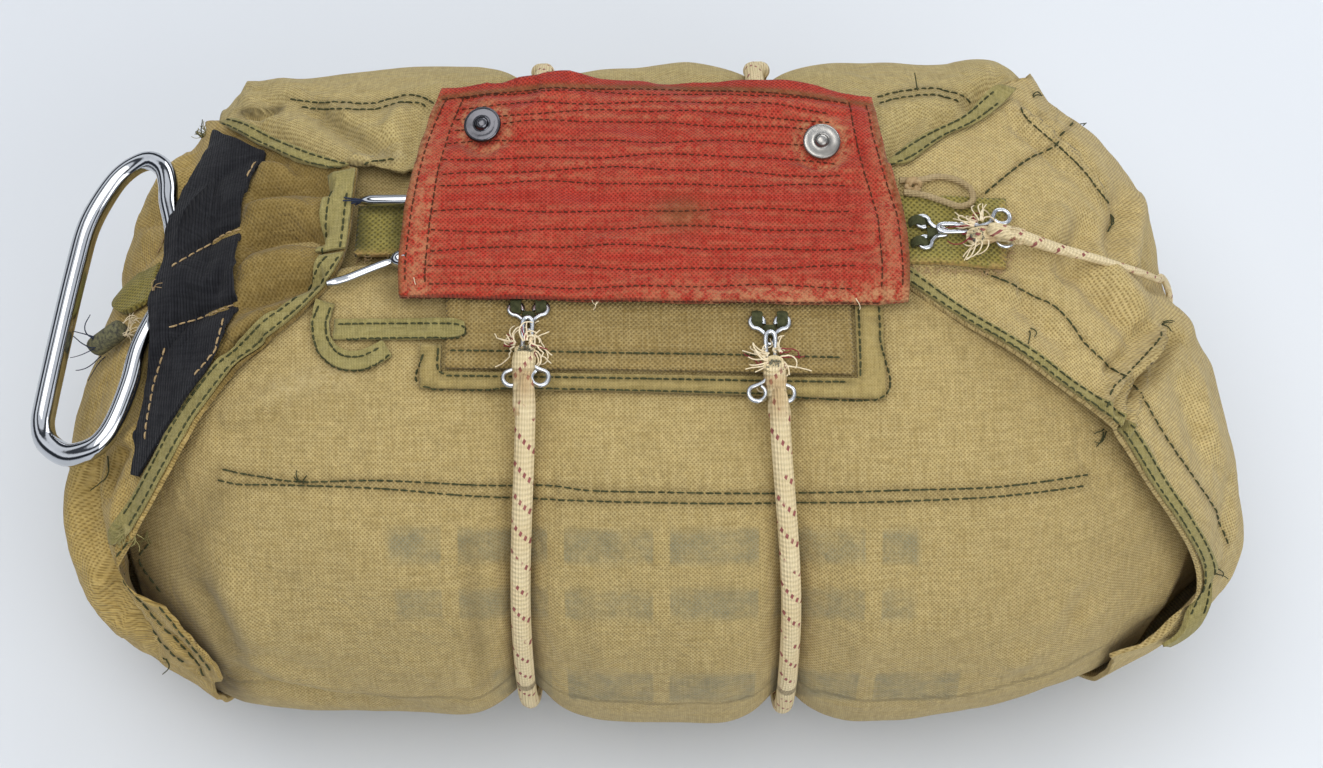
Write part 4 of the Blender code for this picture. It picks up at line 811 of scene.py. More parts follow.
# the way each tape runs, as (x, v)
tapeRuns = {
    "leftTapeFar": [(-162, 91), (-142, 84), (-130, 78), (-119, 72), (-104, 64)],
    "leftTapeEnd": [(-104, 66), (-104.5, 52), (-103, 36)],
    "leftTapeNear": [(-92, 42), (-101, 29), (-116, 16), (-131, -1), (-142, -9), (-156, -28), (-170, -48)],
    "rightTapeFar": [(70, 66), (85, 72), (97.5, 79), (108, 87), (120, 94)],
    "rightTapeNear": [(66, 40), (79, 35), (93, 27), (108, 17), (122, 6), (134, -5), (141, -16), (152, -29),
                      (164, -42), (174, -57), (179, -68), (176, -80)],
}


def tapeSeams(points, run):
    # two lines of sewing that follow a tape's own edges
    x, v = boardPlaces(points)
    guide = smoothRun(run, 3.0)
    rows = ([], [])
    for before, here, after in zip(guide, guide[1:], guide[2:]):
        way = (after - before) / np.hypot(*(after - before))
        along = (x - here[0]) * way[0] + (v - here[1]) * way[1]
        across = (v - here[1]) * way[0] - (x - here[0]) * way[1]
        held = across[(np.abs(along) < 2.0) & (np.abs(across) < 14.0)]
        if len(held) < 6:
            continue
        low, high = np.percentile(held, 2), np.percentile(held, 98)
        for row, part in zip(rows, (0.20, 0.80)):
            off = low + (high - low) * part
            row.append((here[0] - way[1] * off, here[1] + way[0] * off))
    smooth = []
    for row in rows:
        row = np.array(row)
        for _ in range(3):
            row[1:-1] = 0.25 * row[:-2] + 0.5 * row[1:-1] + 0.25 * row[2:]
        smooth.append(row)
    return smooth


# how far the long elastics lean sideways into their hooks
hookLean = {"elasticLeft": 2.0, "elasticRight": -3.2}
drape = {
    # height above the table up to which folds fade in; how far the filled body lies below its flaps, and
    # from which height; an elastic's share of the folds under it
    "fade": 14.0, "bodySink": 2.0, "bodyFrom": 12.0, "elasticShare": 0.6,
}
drafts = {}
for name, (node, _, _, levels, _, field) in clothPieces.items():
    mesh = softCopy(node, levels, crisp=not name.startswith(("packBody", "elastic")))
    points = readPoints(mesh)
    away = outward(points)
    x, v = boardPlaces(points)
    rise = foldField(field, points, x, v)
    if name == "packBody":
        rise = np.minimum(rise, 0.0) - drape["bodySink"] * (points[:, 2] > drape["bodyFrom"])
    if name.startswith("elastic"):
        # where each place is along its elastic
        way = {"elasticEnd": points[:, 0] - 0.9 * points[:, 2], "elasticStub": points[:, 0]}.get(
            name, np.unwrap(np.arctan2(points[:, 2] - middleRow[2], points[:, 1])))
        rise = drape["elasticShare"] * np.polyval(np.polyfit(way, rise, 3), way)
        if name in hookLean:
            near = np.clip((v + 78.0) / 74.0, 0.0, 1.0) * (away @ outRow > 0.1)
            points[:, 0] += hookLean[name] * eased(near)
    rise *= np.clip(points[:, 2] / drape["fade"], 0.0, 1.0)
    if name == "elasticEnd":
        centre = np.stack([np.polyval(np.polyfit(way, points[:, k], 7), way) for k in range(3)], 1)
        thin = 0.52 * np.clip((points[:, 0] - 108.0) / 46.0, 0.0, 1.0)
        points = centre + (points - centre) * (1.0 - thin)[:, None] - away * (thin * 2.4)[:, None]
    writePoints(mesh, points + away * rise[:, None])
    drafts[name] = mesh
for name, run in tapeRuns.items():
    for row in tapeSeams(readPoints(drafts[name]), run):
        seams.append(("tapes", "darkThread", 2.7, row))
print("cloth shaped", len(drafts))


# the red flap's quilting, and the pocket's bulges

studPlaces = {"left": (-58.3, 84.3), "right": (52.3, 78.5)}
quilt = {
    # left x, left v, middle v, right x, right v, from the top edge to the bottom one
    "rows": [(-73.5, 96.0, 99.5, 70.0, 93.0), (-77.5, 84.5, 87.5, 71.0, 82.0),
             (-80.5, 71.0, 72.5, 73.5, 69.5), (-82.5, 55.0, 56.0, 77.5, 55.0),
             (-83.5, 40.0, 40.5, 78.5, 40.0), (-83.0, 26.5, 25.0, 77.5, 24.5)],
    "lines": [0.035, 0.095, 0.155, 0.215, 0.30, 0.375, 0.435, 0.49, 0.60, 0.68, 0.76, 0.845, 0.925],
    "depth": 0.26, "width": 0.9, "sway": 0.6, "hem": 0.055,
    # stitched hems: shares from left to right, and from top to bottom
    "sideHems": (0.052, 0.012, 0.948, 0.988), "longHems": (0.015, 0.985), "hemDepth": 0.5, "hemWidth": 1.1,
    # puckers beside the rows and beside the hems: height, turns along the line, width
    "rowPucker": (0.20, 150.0 / 5.2, 2.6), "hemPucker": (0.22, 130.0 / 4.4, 2.4),
    # round each stud: reach, width and depth of the pressed ring, then of the ruffle outside it
    "studRing": (7.6, 1.7, 0.9), "studRuffle": (11.5, 2.4, 0.5),
}


def quiltPlace(across, down):
    # a place on the red flap, by its shares from left to right and from top to bottom
    rows = np.array(quilt["rows"])
    share = np.linspace(0.0, 1.0, len(rows))
    leftX, leftV, midV, rightX, rightV = (np.interp(down, share, column) for column in rows.T)
    bow = 4.0 * across * (1.0 - across)
    v = leftV + (rightV - leftV) * across + (midV - 0.5 * (leftV + rightV)) * bow
    return leftX + (rightX - leftX) * across, v


def quiltEdges(sideways, downwards):
    # lines down the flap and lines across it, at these shares
    down, across = np.linspace(0.0, 1.0, 40), np.linspace(0.0, 1.0, 60)
    lines = [quiltPlace(np.full(len(down), at), down) for at in sideways]
    lines += [quiltPlace(across, np.full(len(across), at)) for at in downwards]
    return [np.stack(line, 1) for line in lines]


def quiltLine(share, index):
    across = np.linspace(quilt["hem"], 1.0 - quilt["hem"], 60)
    sway = quilt["sway"] * (np.sin(across * 9.0 + index * 1.7) + 0.6 * np.sin(across * 23.0 + index * 2.9))
    x, v = quiltPlace(across, np.full(len(across), share))
    return np.stack((x, v + sway), 1)


quiltLines = [quiltLine(share, index) for index, share in enumerate(quilt["lines"])]
hemLines = quiltEdges(quilt["sideHems"], quilt["longHems"])
mesh = drafts["protectorFlap"]
points = readPoints(mesh)
away = outward(points)
x, v = boardPlaces(points)
rise = np.zeros(len(points))
high, turns, wide = quilt["rowPucker"]
for index, line in enumerate(quiltLines):
    close, gap, share = runDistance(x, v, line[::2], 6.0)
    rise[close] -= quilt["depth"] * bell(gap, quilt["width"])
    rise[close] += high * np.sin(share * turns + index * 2.1) * bell(gap, wide)
high, turns, wide = quilt["hemPucker"]
for line in hemLines:
    close, gap, share = runDistance(x, v, line[::2], 6.0)
    rise[close] -= quilt["hemDepth"] * bell(gap, quilt["hemWidth"])
    rise[close] += high * np.sin(share * turns) * bell(gap, wide)
for cx, cv in studPlaces.values():
    far = np.hypot(x - cx, v - cv)
    reach, wide, deep = quilt["studRing"]
    rise -= deep * bell(far - reach, wide)
    reach, wide, high = quilt["studRuffle"]
    rise += high * bell(far - reach, wide) * np.sin(5.0 * np.arctan2(v - cv, x - cx))
rise += softWaves(points, 71, 14.0, 48.0, 0.5, 0.4)
writePoints(mesh, points + away * rise[:, None])
x, v = boardPlaces(readPoints(mesh))
edge = np.full(len(x), 9.0)
for line in quiltEdges((0.0, 1.0), (0.0, 1.0)):
    close, gap, _ = runDistance(x, v, line, 8.0)
    edge[close] = np.minimum(edge[close], gap)
# dirt together with painted shade: darker along the flap's bound edges and in a patch near its middle
addValues(mesh, "grime", 0.9 * bell(edge, 1.1) + 0.75 * bell(x - 6.0, 9.0) * bell(v - 55.0, 6.0))
rubbed = 0.85 * np.clip((34.0 - v) / 8.0, 0.0, 1.0) * np.clip((x + 30.0) / 60.0, 0.15, 1.0)
rubbed += 0.6 * bell(x + 78.0, 5.0) + 0.5 * bell(x - 73.0, 5.0)
for line in quiltLines:
    close, gap, _ = runDistance(x, v, line[::2], 5.0)
    rubbed[close] += 0.22 * bell(gap - 1.8, 0.9)
for cx, cv in studPlaces.values():
    rubbed += 0.6 * bell(np.hypot(x - cx, v - cv) - 8.0, 1.6)
addValues(mesh, "wear", rubbed)

mesh = drafts["gripPocket"]
points = readPoints(mesh)
x, v = boardPlaces(points)
rise = np.zeros(len(points))
bulges = [
    # half width, height, run
    (5.0, 2.8, [(-153, 57), (-143, 62)]), (5.0, 3.4, [(-150, 33), (-139, 38)]),
    (4.0, 1.4, [(-156, 28), (-146, 32)]), (5.0, 1.2, [(-155, 8), (-150, -2)]),
    (2.2, -3.2, [(-154, 41), (-146, 47), (-136, 51)]), (2.2, -3.0, [(-155, 18.5), (-146, 22), (-135, 26)]),
    (2.2, -1.2, [(-152, 64), (-144, 70), (-134, 75)]), (1.6, -0.8, [(-143, 30), (-140, 42)]),
    (1.6, 0.8, [(-140, 28), (-137.5, 40), (-139, 47)]),
]
for width, height, run in bulges:
    close, gap, _ = runDistance(x, v, smoothRun(run, 4.0), 4.0 * width)
    rise[close] += height * bell(gap, width)
writePoints(mesh, points + outRow[None, :] * rise[:, None])


# under a flap that lies on it, a layer keeps below that flap

tuck = {
    # under a flap: margin round it, start and length of the look for it, the most that a layer moves
    "margin": 3.0, "start": 40.0, "reach": 60.0, "most": 9.0,
    "layers": [("lowerFlap", "leftFlap", 1.7), ("lowerFlap", "rightFlap", 1.7),
               ("upperFlap", "leftFlap", 1.7), ("upperFlap", "rightFlap", 1.7),
               ("packBody", "lowerFlap", 1.8), ("packBody", "upperFlap", 1.8),
               ("packBody", "leftFlap", 2.0), ("packBody", "rightFlap", 2.0)],
}
for under, over, depth in tuck["layers"]:
    mesh = drafts[under]
    cover = surfaceTree([drafts[over]])
    points = readPoints(mesh)
    away = outward(points)
    box = readPoints(drafts[over])
    low, high = box.min(0) - tuck["margin"], box.max(0) + tuck["margin"]
    for k in np.flatnonzero(((points > low) & (points < high)).all(1)):
        ray = Vector(away[k])
        hit = cover.ray_cast(Vector(points[k]) + ray * tuck["start"], -ray, tuck["reach"])[0]
        if hit is None:
            continue
        short = (Vector(points[k]) - hit).dot(ray) + depth
        if 0.0 < short < tuck["most"]:
            points[k] -= away[k] * short
    writePoints(mesh, points)
print("layers tucked")

marks = {
    # piece: list of (mark, strength, half width, run); the dark mark is painted shade in hollows, creases and
    # round the straps, together with dirt
    # on the lower flap: painted shade in the dark hollow at its left end and under the red flap's lower edge
    "lowerFlap": [("grime", 0.5, 6.0, [(-150, -48), (-147, -60), (-143, -74), (-138, -86)]),
                  ("grime", 1.0, 8.0, [(-177, -48), (-171, -62), (-162, -76), (-150, -91), (-143, -98)]),
                  ("grime", 0.35, 6.0, [(-139, -34), (-146, -46)]),
                  ("grime", 0.75, 1.5, [(-113, -30.5), (-111, -30.6)]),
                  ("wear", 0.3, 5.0, [(-120, -2), (-100, 3)]), ("grime", 0.35, 3.0, [(-60, -50), (-58, -96)]),
                  ("grime", 0.5, 4.0, [(-86, 40), (-85, 28), (-60, 23), (-20, 22)])],
    "upperFlap": [("grime", 1.0, 3.0, [(-100, 63), (-93, 65.5), (-84, 66.5)]),
                  ("grime", 1.0, 1.6, [(-145, 94), (-138, 93.5), (-131, 94.5)]),
                  ("grime", 0.5, 3.0, [(-120, 96), (-104, 84), (-90, 75)]),
                  ("wear", 0.35, 2.0, [(-103, 66), (-102, 72), (-97, 75), (-87, 76.5)])],
    "leftFlap": [("grime", 0.7, 3.0, [(-133, 76), (-135, 62), (-136, 46), (-137, 32), (-140, 14)]),
                 ("grime", 0.55, 4.0, [(-137, 45), (-127, 49.5), (-115, 50)]),
                 ("grime", 0.4, 3.5, [(-133, 26), (-119, 31)]), ("grime", 0.4, 3.5, [(-135, 61), (-110, 65)]),
                 ("grime", 0.5, 4.0, [(-180, -20), (-176, -30)]),
                 ("wear", 0.4, 3.0, [(-183, -10), (-172, 2)])],
    "rightFlap": [("wear", 0.35, 1.8, [(119, 96), (132, 80.5), (144.5, 65)]),
                  ("grime", 0.4, 3.0, [(170, 15), (150, -3)]),
                  ("wear", 0.35, 1.6, [(162, 18), (143.5, 0), (139, -8)])],
    "leftTapeNear": [("wear", 0.5, 2.0, [(-168, -46), (-170, -52)])],
    # painted shade round the strap where it runs in under the red flap
    "leftStrap": [("wear", 1.0, 1.3, [(-99, 41.4), (-68, 41.4)]),
                  ("grime", 0.95, 4.5, [(-101, 58), (-99, 46)]),
                  ("grime", 0.8, 3.0, [(-98, 58), (-78, 58)]), ("grime", 0.6, 3.0, [(-86, 58), (-84, 42)])],
    "rightStrap": [("wear", 1.0, 1.8, [(70, 38.5), (110, 36.5)]),
                   ("wear", 0.7, 1.2, [(111.5, 58), (110, 37)])],
    "elasticLeft": [("grime", 0.8, 3.0, [(-42, 9), (-42, -2)])],
    "elasticRight": [("grime", 0.7, 3.0, [(35, 4), (36, -7)])],
}
sewnHosts = {"lowerFlap": "body", "upperFlap": "body", "leftFlap": "left", "rightFlap": "right",
             "frontPatch": "body", "patchFrame": "body"}
for name, host in sewnHosts.items():
    # each seam darkened along its line: painted shade in the seam groove, together with dirt
    seamMarks = [("grime", 0.42, 1.3, run) for field, _, _, run in seams if field == host]
    marks[name] = marks.get(name, []) + seamMarks
for name, rows in marks.items():
    mesh = drafts[name]
    x, v = boardPlaces(readPoints(mesh))
    sums = {}
    if name == "leftFlap":
        # the left flap's inner part darkened: painted shade together with dirt
        inner = np.clip((x + 151.0) / 8.0, 0.0, 1.0) * np.clip((v + 12.0) / 12.0, 0.0, 1.0)
        sums["grime"] = 0.62 * inner
    for mark, strength, width, run in rows:
        values = sums.setdefault(mark, np.zeros(len(x)))
        close, gap, _ = runDistance(x, v, smoothRun(run, 4.0), 4.0 * width)
        values[close] = np.maximum(values[close], strength * bell(gap, width))
    for mark, values in sums.items():
        addValues(mesh, mark, values)

# plain faded blocks of ink in three rows
mesh = drafts["lowerFlap"]
x, v = boardPlaces(readPoints(mesh))
ink = {
    # low v, high v, left x, right x; width of a block with its gap
    "rows": [(-56.5, -44.5, -86, 81), (-74.5, -63.5, -84, 80), (-104.0, -92.0, -56, 98)], "block": 33.0,
}
inked = np.zeros(len(x))
for low, high, start, end in ink["rows"]:
    inked += (np.clip((v - low) / 1.5, 0, 1) * np.clip((high - v) / 1.5, 0, 1)
              * np.clip((x - start) / 2.0, 0, 1) * np.clip((end - x) / 2.0, 0, 1))
facing = np.clip((outward(readPoints(mesh)) @ outRow) / 0.2, 0, 1)
addValues(mesh, "inked", inked * facing)
addMap(mesh, "ink", np.stack((x, v), 1) / ink["block"])

for name, (node, finish, slotName, _, weave, _) in clothPieces.items():
    cover = yarns["stubCore"] if name == "elasticStub" else cloths[finish]
    finishPiece(name, drafts[name], cover, node, weave)


# threads, wires and tubes

def clothTree(*without):
    return surfaceTree([mesh for name, mesh in drafts.items() if not name.startswith(without)])


allCloth = clothTree()
belowCords = clothTree("protectorFlap", "elastic")
belowRed = clothTree("protectorFlap", "gripPocket")


def drop(x, v, lift=0.0, tree=allCloth):
    # the place on the cloth at (x, v), lifted the way that the cloth faces
    hit, normal, _, _ = tree.ray_cast(onBoard(x, v, wellAbove), -boardOut)
    if hit is None:
        return None
    if normal.dot(boardOut) < 0.0:
        normal = -normal
    return hit + normal * lift


def tubeMesh(strands, radius, sides):
    # round strands with closed ends; each is its places, their thickness shares, and a word if it is a ring
    curve = bpy.data.curves.new("strands", "CURVE")
    curve.dimensions = "3D"
    curve.bevel_depth = radius * mm
    curve.bevel_resolution = sides
    curve.use_fill_caps = True
    for strand in strands:
        places, shares = strand[:2]
        spline = curve.splines.new("POLY")
        spline.points.add(len(places) - 1)
        for point, place, share in zip(spline.points, places, shares):
            point.co = (place[0] * mm, place[1] * mm, place[2] * mm, 1.0)
            point.radius = share
        spline.use_cyclic_u = len(strand) > 2
    return objectMesh(bpy.data.objects.new("strands", curve))


def threads(name, strands, yarn, radius, sides=0):
    return finishPiece(name, tubeMesh(strands, radius, sides), yarns[yarn])


def stitchRow(run, pitch, rng, share=0.86, rise=0.22, tree=belowCords):
    # stitches along a run; each dips into the cloth at both ends
    step, sink, widest = 0.5, 0.25, 2.5
    line = smoothRun(run, step)
    arch = ((0.0, -sink), (0.2, rise), (0.5, rise + 0.08), (0.8, rise), (1.0, -sink))
    strands = []
    at = rng.uniform(0.0, 0.5) * pitch
    while at + pitch * share < step * (len(line) - 1):
        long = pitch * share * rng.uniform(0.9, 1.08)
        places = []
        for part, lift in arch:
            k = min(int(round((at + long * part) / step)), len(line) - 1)
            places.append(drop(line[k][0], line[k][1], lift, tree))
        if all(place is not None for place in places):
            if max((a - b).length for a, b in zip(places, places[1:])) < widest:
                strands.append((places, (0.6, 1.0, 1.05, 1.0, 0.6)))
        at += pitch * rng.uniform(0.96, 1.05)
    return strands


# the slot of the cloth that each seam is sewn on
sewing = {"body": "canvas", "left": "canvas", "right": "canvas", "pocket": "black_elastic",
          "tapes": "olive_tape"}
rng = np.random.default_rng(5)
sewnOn = {}
for field, slotName in sewing.items():
    for yarn in ("darkThread", "tanThread"):
        strands = []
        for host, kind, pitch, run in seams:
            if host == field and kind == yarn:
                strands += stitchRow(run, pitch, rng)
        if strands:
            piece = threads(field + capital(yarn), strands, yarn, 0.33)
            sewnOn.setdefault(field, []).append(piece)
strands = []
for line in quiltLines:
    strands += stitchRow(line[::4], 2.3, rng, share=0.72, rise=0.12, tree=allCloth)
for line in hemLines:
    strands += stitchRow(line[::4], 2.5, rng, rise=0.2, tree=allCloth)
sewnOn["protector"] = [threads("quiltStitches", strands, "quiltThread", 0.24)]
print("stitches sewn")


def tailOf(rng, start, heading, length, lift=0.5, curl=1.2, high=0.0):
    # a loose thread that leaves (x, v) and lies on what is below it
    last, stretch = 9, 2.2
    x, v = start
    turn = math.radians(heading)
    bend = rng.uniform(-curl, curl)
    places = []
    for k in range(last + 1):
        s = k / last
        bow = lift * (math.sin(math.pi * s) + 0.6 * s)
        spot = drop(x, v, 0.25 + bow + high * (1.0 - s) ** 2)
        if spot is None:
            break
        if places and (spot - places[-1]).length > stretch * length / last:
            # over an edge: the thread hangs free instead
            spot = places[-1] + (sideAxis * math.cos(turn) + boardUp * math.sin(turn)) * length / last
        places.append(spot)
        turn += (bend * math.cos(3.0 * s + bend) + rng.uniform(-0.25, 0.25)) * 3.0 / (last + 1)
        x += math.cos(turn) * length / last
        v += math.sin(turn) * length / last
    return places, [1.0 - 0.35 * k / max(len(places) - 1, 1) for k in range(len(places))]


looseThreads = {
    # yarn: thickness, rows of (x, v, heading, length, how many, spread)
    "darkThread": (0.26, [(-179, -23, -60, 13, 1, 5), (-183, -36, -60, 12, 1, 5), (-112, -30.5, 90, 3, 3, 60),
                          (126.5, 98.5, 45, 6, 2, 30), (147, 91, 20, 6, 2, 30), (152, 57.5, -50, 7, 3, 30),
                          (140.5, -15, -100, 6, 4, 40), (164, 19.5, 30, 6, 3, 40), (182, -62, -40, 6, 2, 30),
                          (117, 17, -60, 5, 2, 30), (-165, -91, -30, 8, 2, 40), (87, 100.5, 100, 6, 1, 10),
                          (-160, 86, 160, 6, 5, 40)]),
    "oliveThread": (0.17, [(-170, -47, -100, 5, 16, 50), (-166, -48, -80, 5, 10, 40),
                           (-159, 87, 150, 6, 10, 60), (-170, -45, -140, 4, 8, 40)]),
    # the straps' frayed edges, then two places at the left end
    "tanThread": (0.17, [
        *((-98 + 2.0 * k, 40.6, -90 + 35 * math.sin(k * 2.3), 2.6, 2, 30) for k in range(7)),
        *((79.5 + 1.6 * k, 37.3 - 0.05 * k, -80 + 40 * math.sin(k * 1.9), 3.0, 2, 35) for k in range(20)),
        *((111.3, 38 + 2.2 * k, 5 + 40 * math.sin(k * 1.3), 3.2, 2, 35) for k in range(9)),
        (-168, 25, -40, 8, 3, 25), (-163, 30, 60, 6, 3, 25)]),
    "blueThread": (0.24, [(-186, 15, 170, 12, 2, 12), (-186, 12, 195, 13, 2, 12), (-184, 9, 205, 10, 2, 15)]),
    "creamThread": (0.17, [(-175, 16, 50, 7, 9, 45), (-176, 20, 20, 6, 6, 40), (-78, 33, -60, 4, 1, 20),
                           (60, 27, -70, 5, 1, 20), (-20, 26, -100, 4, 2, 40)]),
}
for yarn, (radius, rows) in looseThreads.items():
    rng = np.random.default_rng(len(rows) + 40)
    strands = []
    for x, v, heading, length, count, spread in rows:
        for _ in range(count):
            start = (x + rng.normal() * 0.5, v + rng.normal() * 0.5)
            turn = heading + rng.uniform(-spread, spread)
            places, shares = tailOf(rng, start, turn, length * rng.uniform(0.6, 1.1))
            if len(places) > 3:
                strands.append((places, shares))
    threads("loose" + capital(yarn), strands, yarn, radius)
print("loose threads laid")


# cut ends of the elastics, folded back over their hooks

foldedEnds = {
    # run on the board from the elastic to the cut, half thickness, height of the cut above the cloth, seed
    "left": ([(-43.4, -10.0), (-43.2, 1.0), (-42.6, 9.5)], 3.5, 5.4, 3),
    "right": ([(36.4, -12.0), (35.8, -2.0), (35.0, 5.0)], 3.5, 5.4, 8),
    "end": ([(116.0, 47.2), (109.0, 48.0), (101.0, 47.4)], 2.9, 5.0, 12),
}
fray = {
    # reach of a loose thread, how many, how far they spread, and how many rubber strands stand up
    "reach": 9.5, "count": 30, "spread": 120.0, "cores": 60,
}


def cutEnd(name, root, heading, size, high, seed):
    rng = np.random.default_rng(seed)
    pale, red, core = [], [], []
    base = drop(*root, 0.0, belowCords) + boardOut * (high - 0.6)
    for k in range(fray["count"]):
        turn = heading + rng.uniform(-fray["spread"], fray["spread"])
        angle = math.radians(turn)
        start = (root[0] + size * 0.7 * math.cos(angle), root[1] + size * 0.7 * math.sin(angle))
        long = fray["reach"] * rng.uniform(0.45, 1.0)
        strand = tailOf(rng, start, turn, long, lift=rng.uniform(0.8, 2.6), curl=2.2, high=high)
        if len(strand[0]) > 3:
            (red if k % 7 == 0 else pale).append(strand)
    for _ in range(fray["cores"]):
        turn, far = rng.uniform(0.0, 2 * math.pi), size * math.sqrt(rng.uniform(0.0, 1.0)) * 0.78
        foot = base + Vector(far * (sideRow * math.cos(turn) + upRow * math.sin(turn)))
        tip = foot + boardOut * rng.uniform(1.6, 2.6)
        core.append(([foot, foot.lerp(tip, 0.5), tip], (1.0, 1.0, 0.6)))
    threads(name + "Pale", pale, "creamThread", 0.30, sides=1)
    threads(name + "Red", red, "crimsonThread", 0.24, sides=1)
    threads(name + "Core", core, "coreRubber", 0.36, sides=1)


for key, (run, radius, high, seed) in foldedEnds.items():
    points = readPoints(drafts["elastic" + capital(key)])
    x, v = boardPlaces(points)
    if key == "end":
        root = np.abs(x - run[0][0]) < 3.0
        run[0] = (run[0][0], float(v[root].mean()))
    else:
        root = (np.abs(v - run[0][1]) < 3.0) & (outward(points) @ outRow > 0.5)
        run[0] = (float(x[root].mean()), run[0][1])
    rootHeight = (Vector(points[root].mean(0)) - middle).dot(boardOut)
    line = smoothRun(run, 0.8)
    part = np.linspace(0.0, 1.0, len(line))
    route = []
    for (x, v), share in zip(line, part):
        seat = (drop(x, v, 0.0, belowCords) - middle).dot(boardOut) + high
        route.append(onBoard(x, v, rootHeight + (seat - rootHeight) * eased(min(1.0, share * 1.5))))
    turned = len(route) - 1
    ahead = (route[turned] - route[turned - 2]).normalized()
    for k in range(1, 4):
        route.append(route[turned] + boardOut * 0.45 * k + ahead * 0.5 * k)
    shares = np.concatenate((0.9 + 0.10 * np.sin(part * 9.0) + 0.06 * part, np.full(3, 0.94)))
    mesh = tubeMesh([(route, shares)], radius, sides=5)
    flat = readPoints(mesh)
    alongRow, acrossRow, heading = (sideRow, upRow, 180.0) if key == "end" else (upRow, sideRow, 90.0)
    way = (flat - np.array(route[0])) @ alongRow
    side = (flat - np.array(route[turned // 2])) @ acrossRow
    addMap(mesh, "cloth", np.stack((side, way), 1) * mm)
    # darker bands along the folded end: painted shade in its wrinkles together with dirt
    addValues(mesh, "grime", 0.75 * np.clip(np.sin(way * 0.55 + 1.0), 0.0, 1.0))
    finishPiece("elasticFold" + capital(key), mesh, cloths["cordCover"])
    cutEnd(key + "Fray", tuple(line[-1]), heading, radius, high + 1.0, seed)


# hooks, eyes and their lashings

def arc(centre, radius, start, end, count):
    turns = np.radians(np.linspace(start, end, count + 1))
    return [(centre[0] + radius * math.cos(a), centre[1] + radius * math.sin(a)) for a in turns]


def mirrored(half, tip):
    return half + [tip] + [(-x, y) for x, y in reversed(half)]


fasteners = {
    # outlines on their own plane, half the wire's thickness, and the way that each pair points
    "eye": mirrored(arc((-4.0, 6.4), 2.2, -20.0, 275.0, 14) + [(-1.7, 2.4), (-1.2, -0.4)], (0.0, -1.3)),
    "hook": mirrored(arc((-4.4, -19.0), 2.7, 60.0, -225.0, 14) + [(-1.5, -14.0), (-1.4, -6.0), (-1.5, 0.6)],
                     (0.0, 2.2)),
    "wire": 0.80,
    "headings": {"left": (0.0, 1.0), "right": (0.0, 1.0), "end": (-1.0, 0.0)},
}


def nodeFacing(node):
    # a flat solid's corners, their middle and the way that it faces
    points = readPoints(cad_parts[node].data)
    centre = points.mean(0)
    normal = Vector(np.linalg.svd(points - centre, full_matrices=False)[2][2])
    return points, centre, -normal if normal.dot(boardOut) < 0.0 else normal


def fastenerFrame(node, outline, heading):
    # the fastener's origin and its own side, ahead and up
    points, _, normal = nodeFacing(node)
    way = sideAxis * heading[0] + boardUp * heading[1]
    ahead = (way - boardOut * (way.dot(normal) / boardOut.dot(normal))).normalized()
    side = ahead.cross(normal).normalized()
    up = side.cross(ahead)
    flat = np.array(outline)
    origin = Vector((0.0, 0.0, 0.0))
    for axis, mid in ((side, flat[:, 0]), (ahead, flat[:, 1]), (up, np.zeros(1))):
        along = points @ np.array(axis)
        origin += axis * (0.5 * (along.min() + along.max()) - 0.5 * (mid.min() + mid.max()))
    return origin, side, ahead, up


for key, heading in fasteners["headings"].items():
    lashings = []
    for kind in ("eye", "hook"):
        node = kind + "_" + key
        origin, side, ahead, up = fastenerFrame(node, fasteners[kind], heading)
        lift = -0.4 if kind == "eye" else 0.0
        route = [origin + side * x + ahead * y + up * lift for x, y in smoothRun(fasteners[kind], 0.7)]
        mesh = tubeMesh([(route, np.ones(len(route)))], fasteners["wire"], sides=3)
        finishPiece(kind + capital(key), mesh, metals["wireSteel"], node)
        if kind == "eye":
            for cx in (-4.0, 4.0):
                for k in range(9):
                    x = cx + 0.36 * (k - 4)
                    far = 2.9 + 1.6 - 0.10 * abs(k - 4)
                    bow = ((-1.3, -1.2), (0.4, 0.3), (1.9, 1.15), (3.3, 0.2), (far, -1.4))
                    lashings.append([origin + side * x + ahead * (6.4 + y) + up * h for y, h in bow])
            for k in range(8):
                y = 1.6 + 0.5 * k
                bow = ((-2.0, -1.2), (-0.9, 0.2), (0.9, 0.2), (2.0, -1.2))
                lashings.append([origin + side * x + ahead * y + up * h for x, h in bow])
    strands = [(run, np.ones(len(run))) for run in lashings]
    threads("lashing" + capital(key), strands, "darkThread", 0.30, sides=1)
print("hooks and eyes fastened")


# studs on the red flap

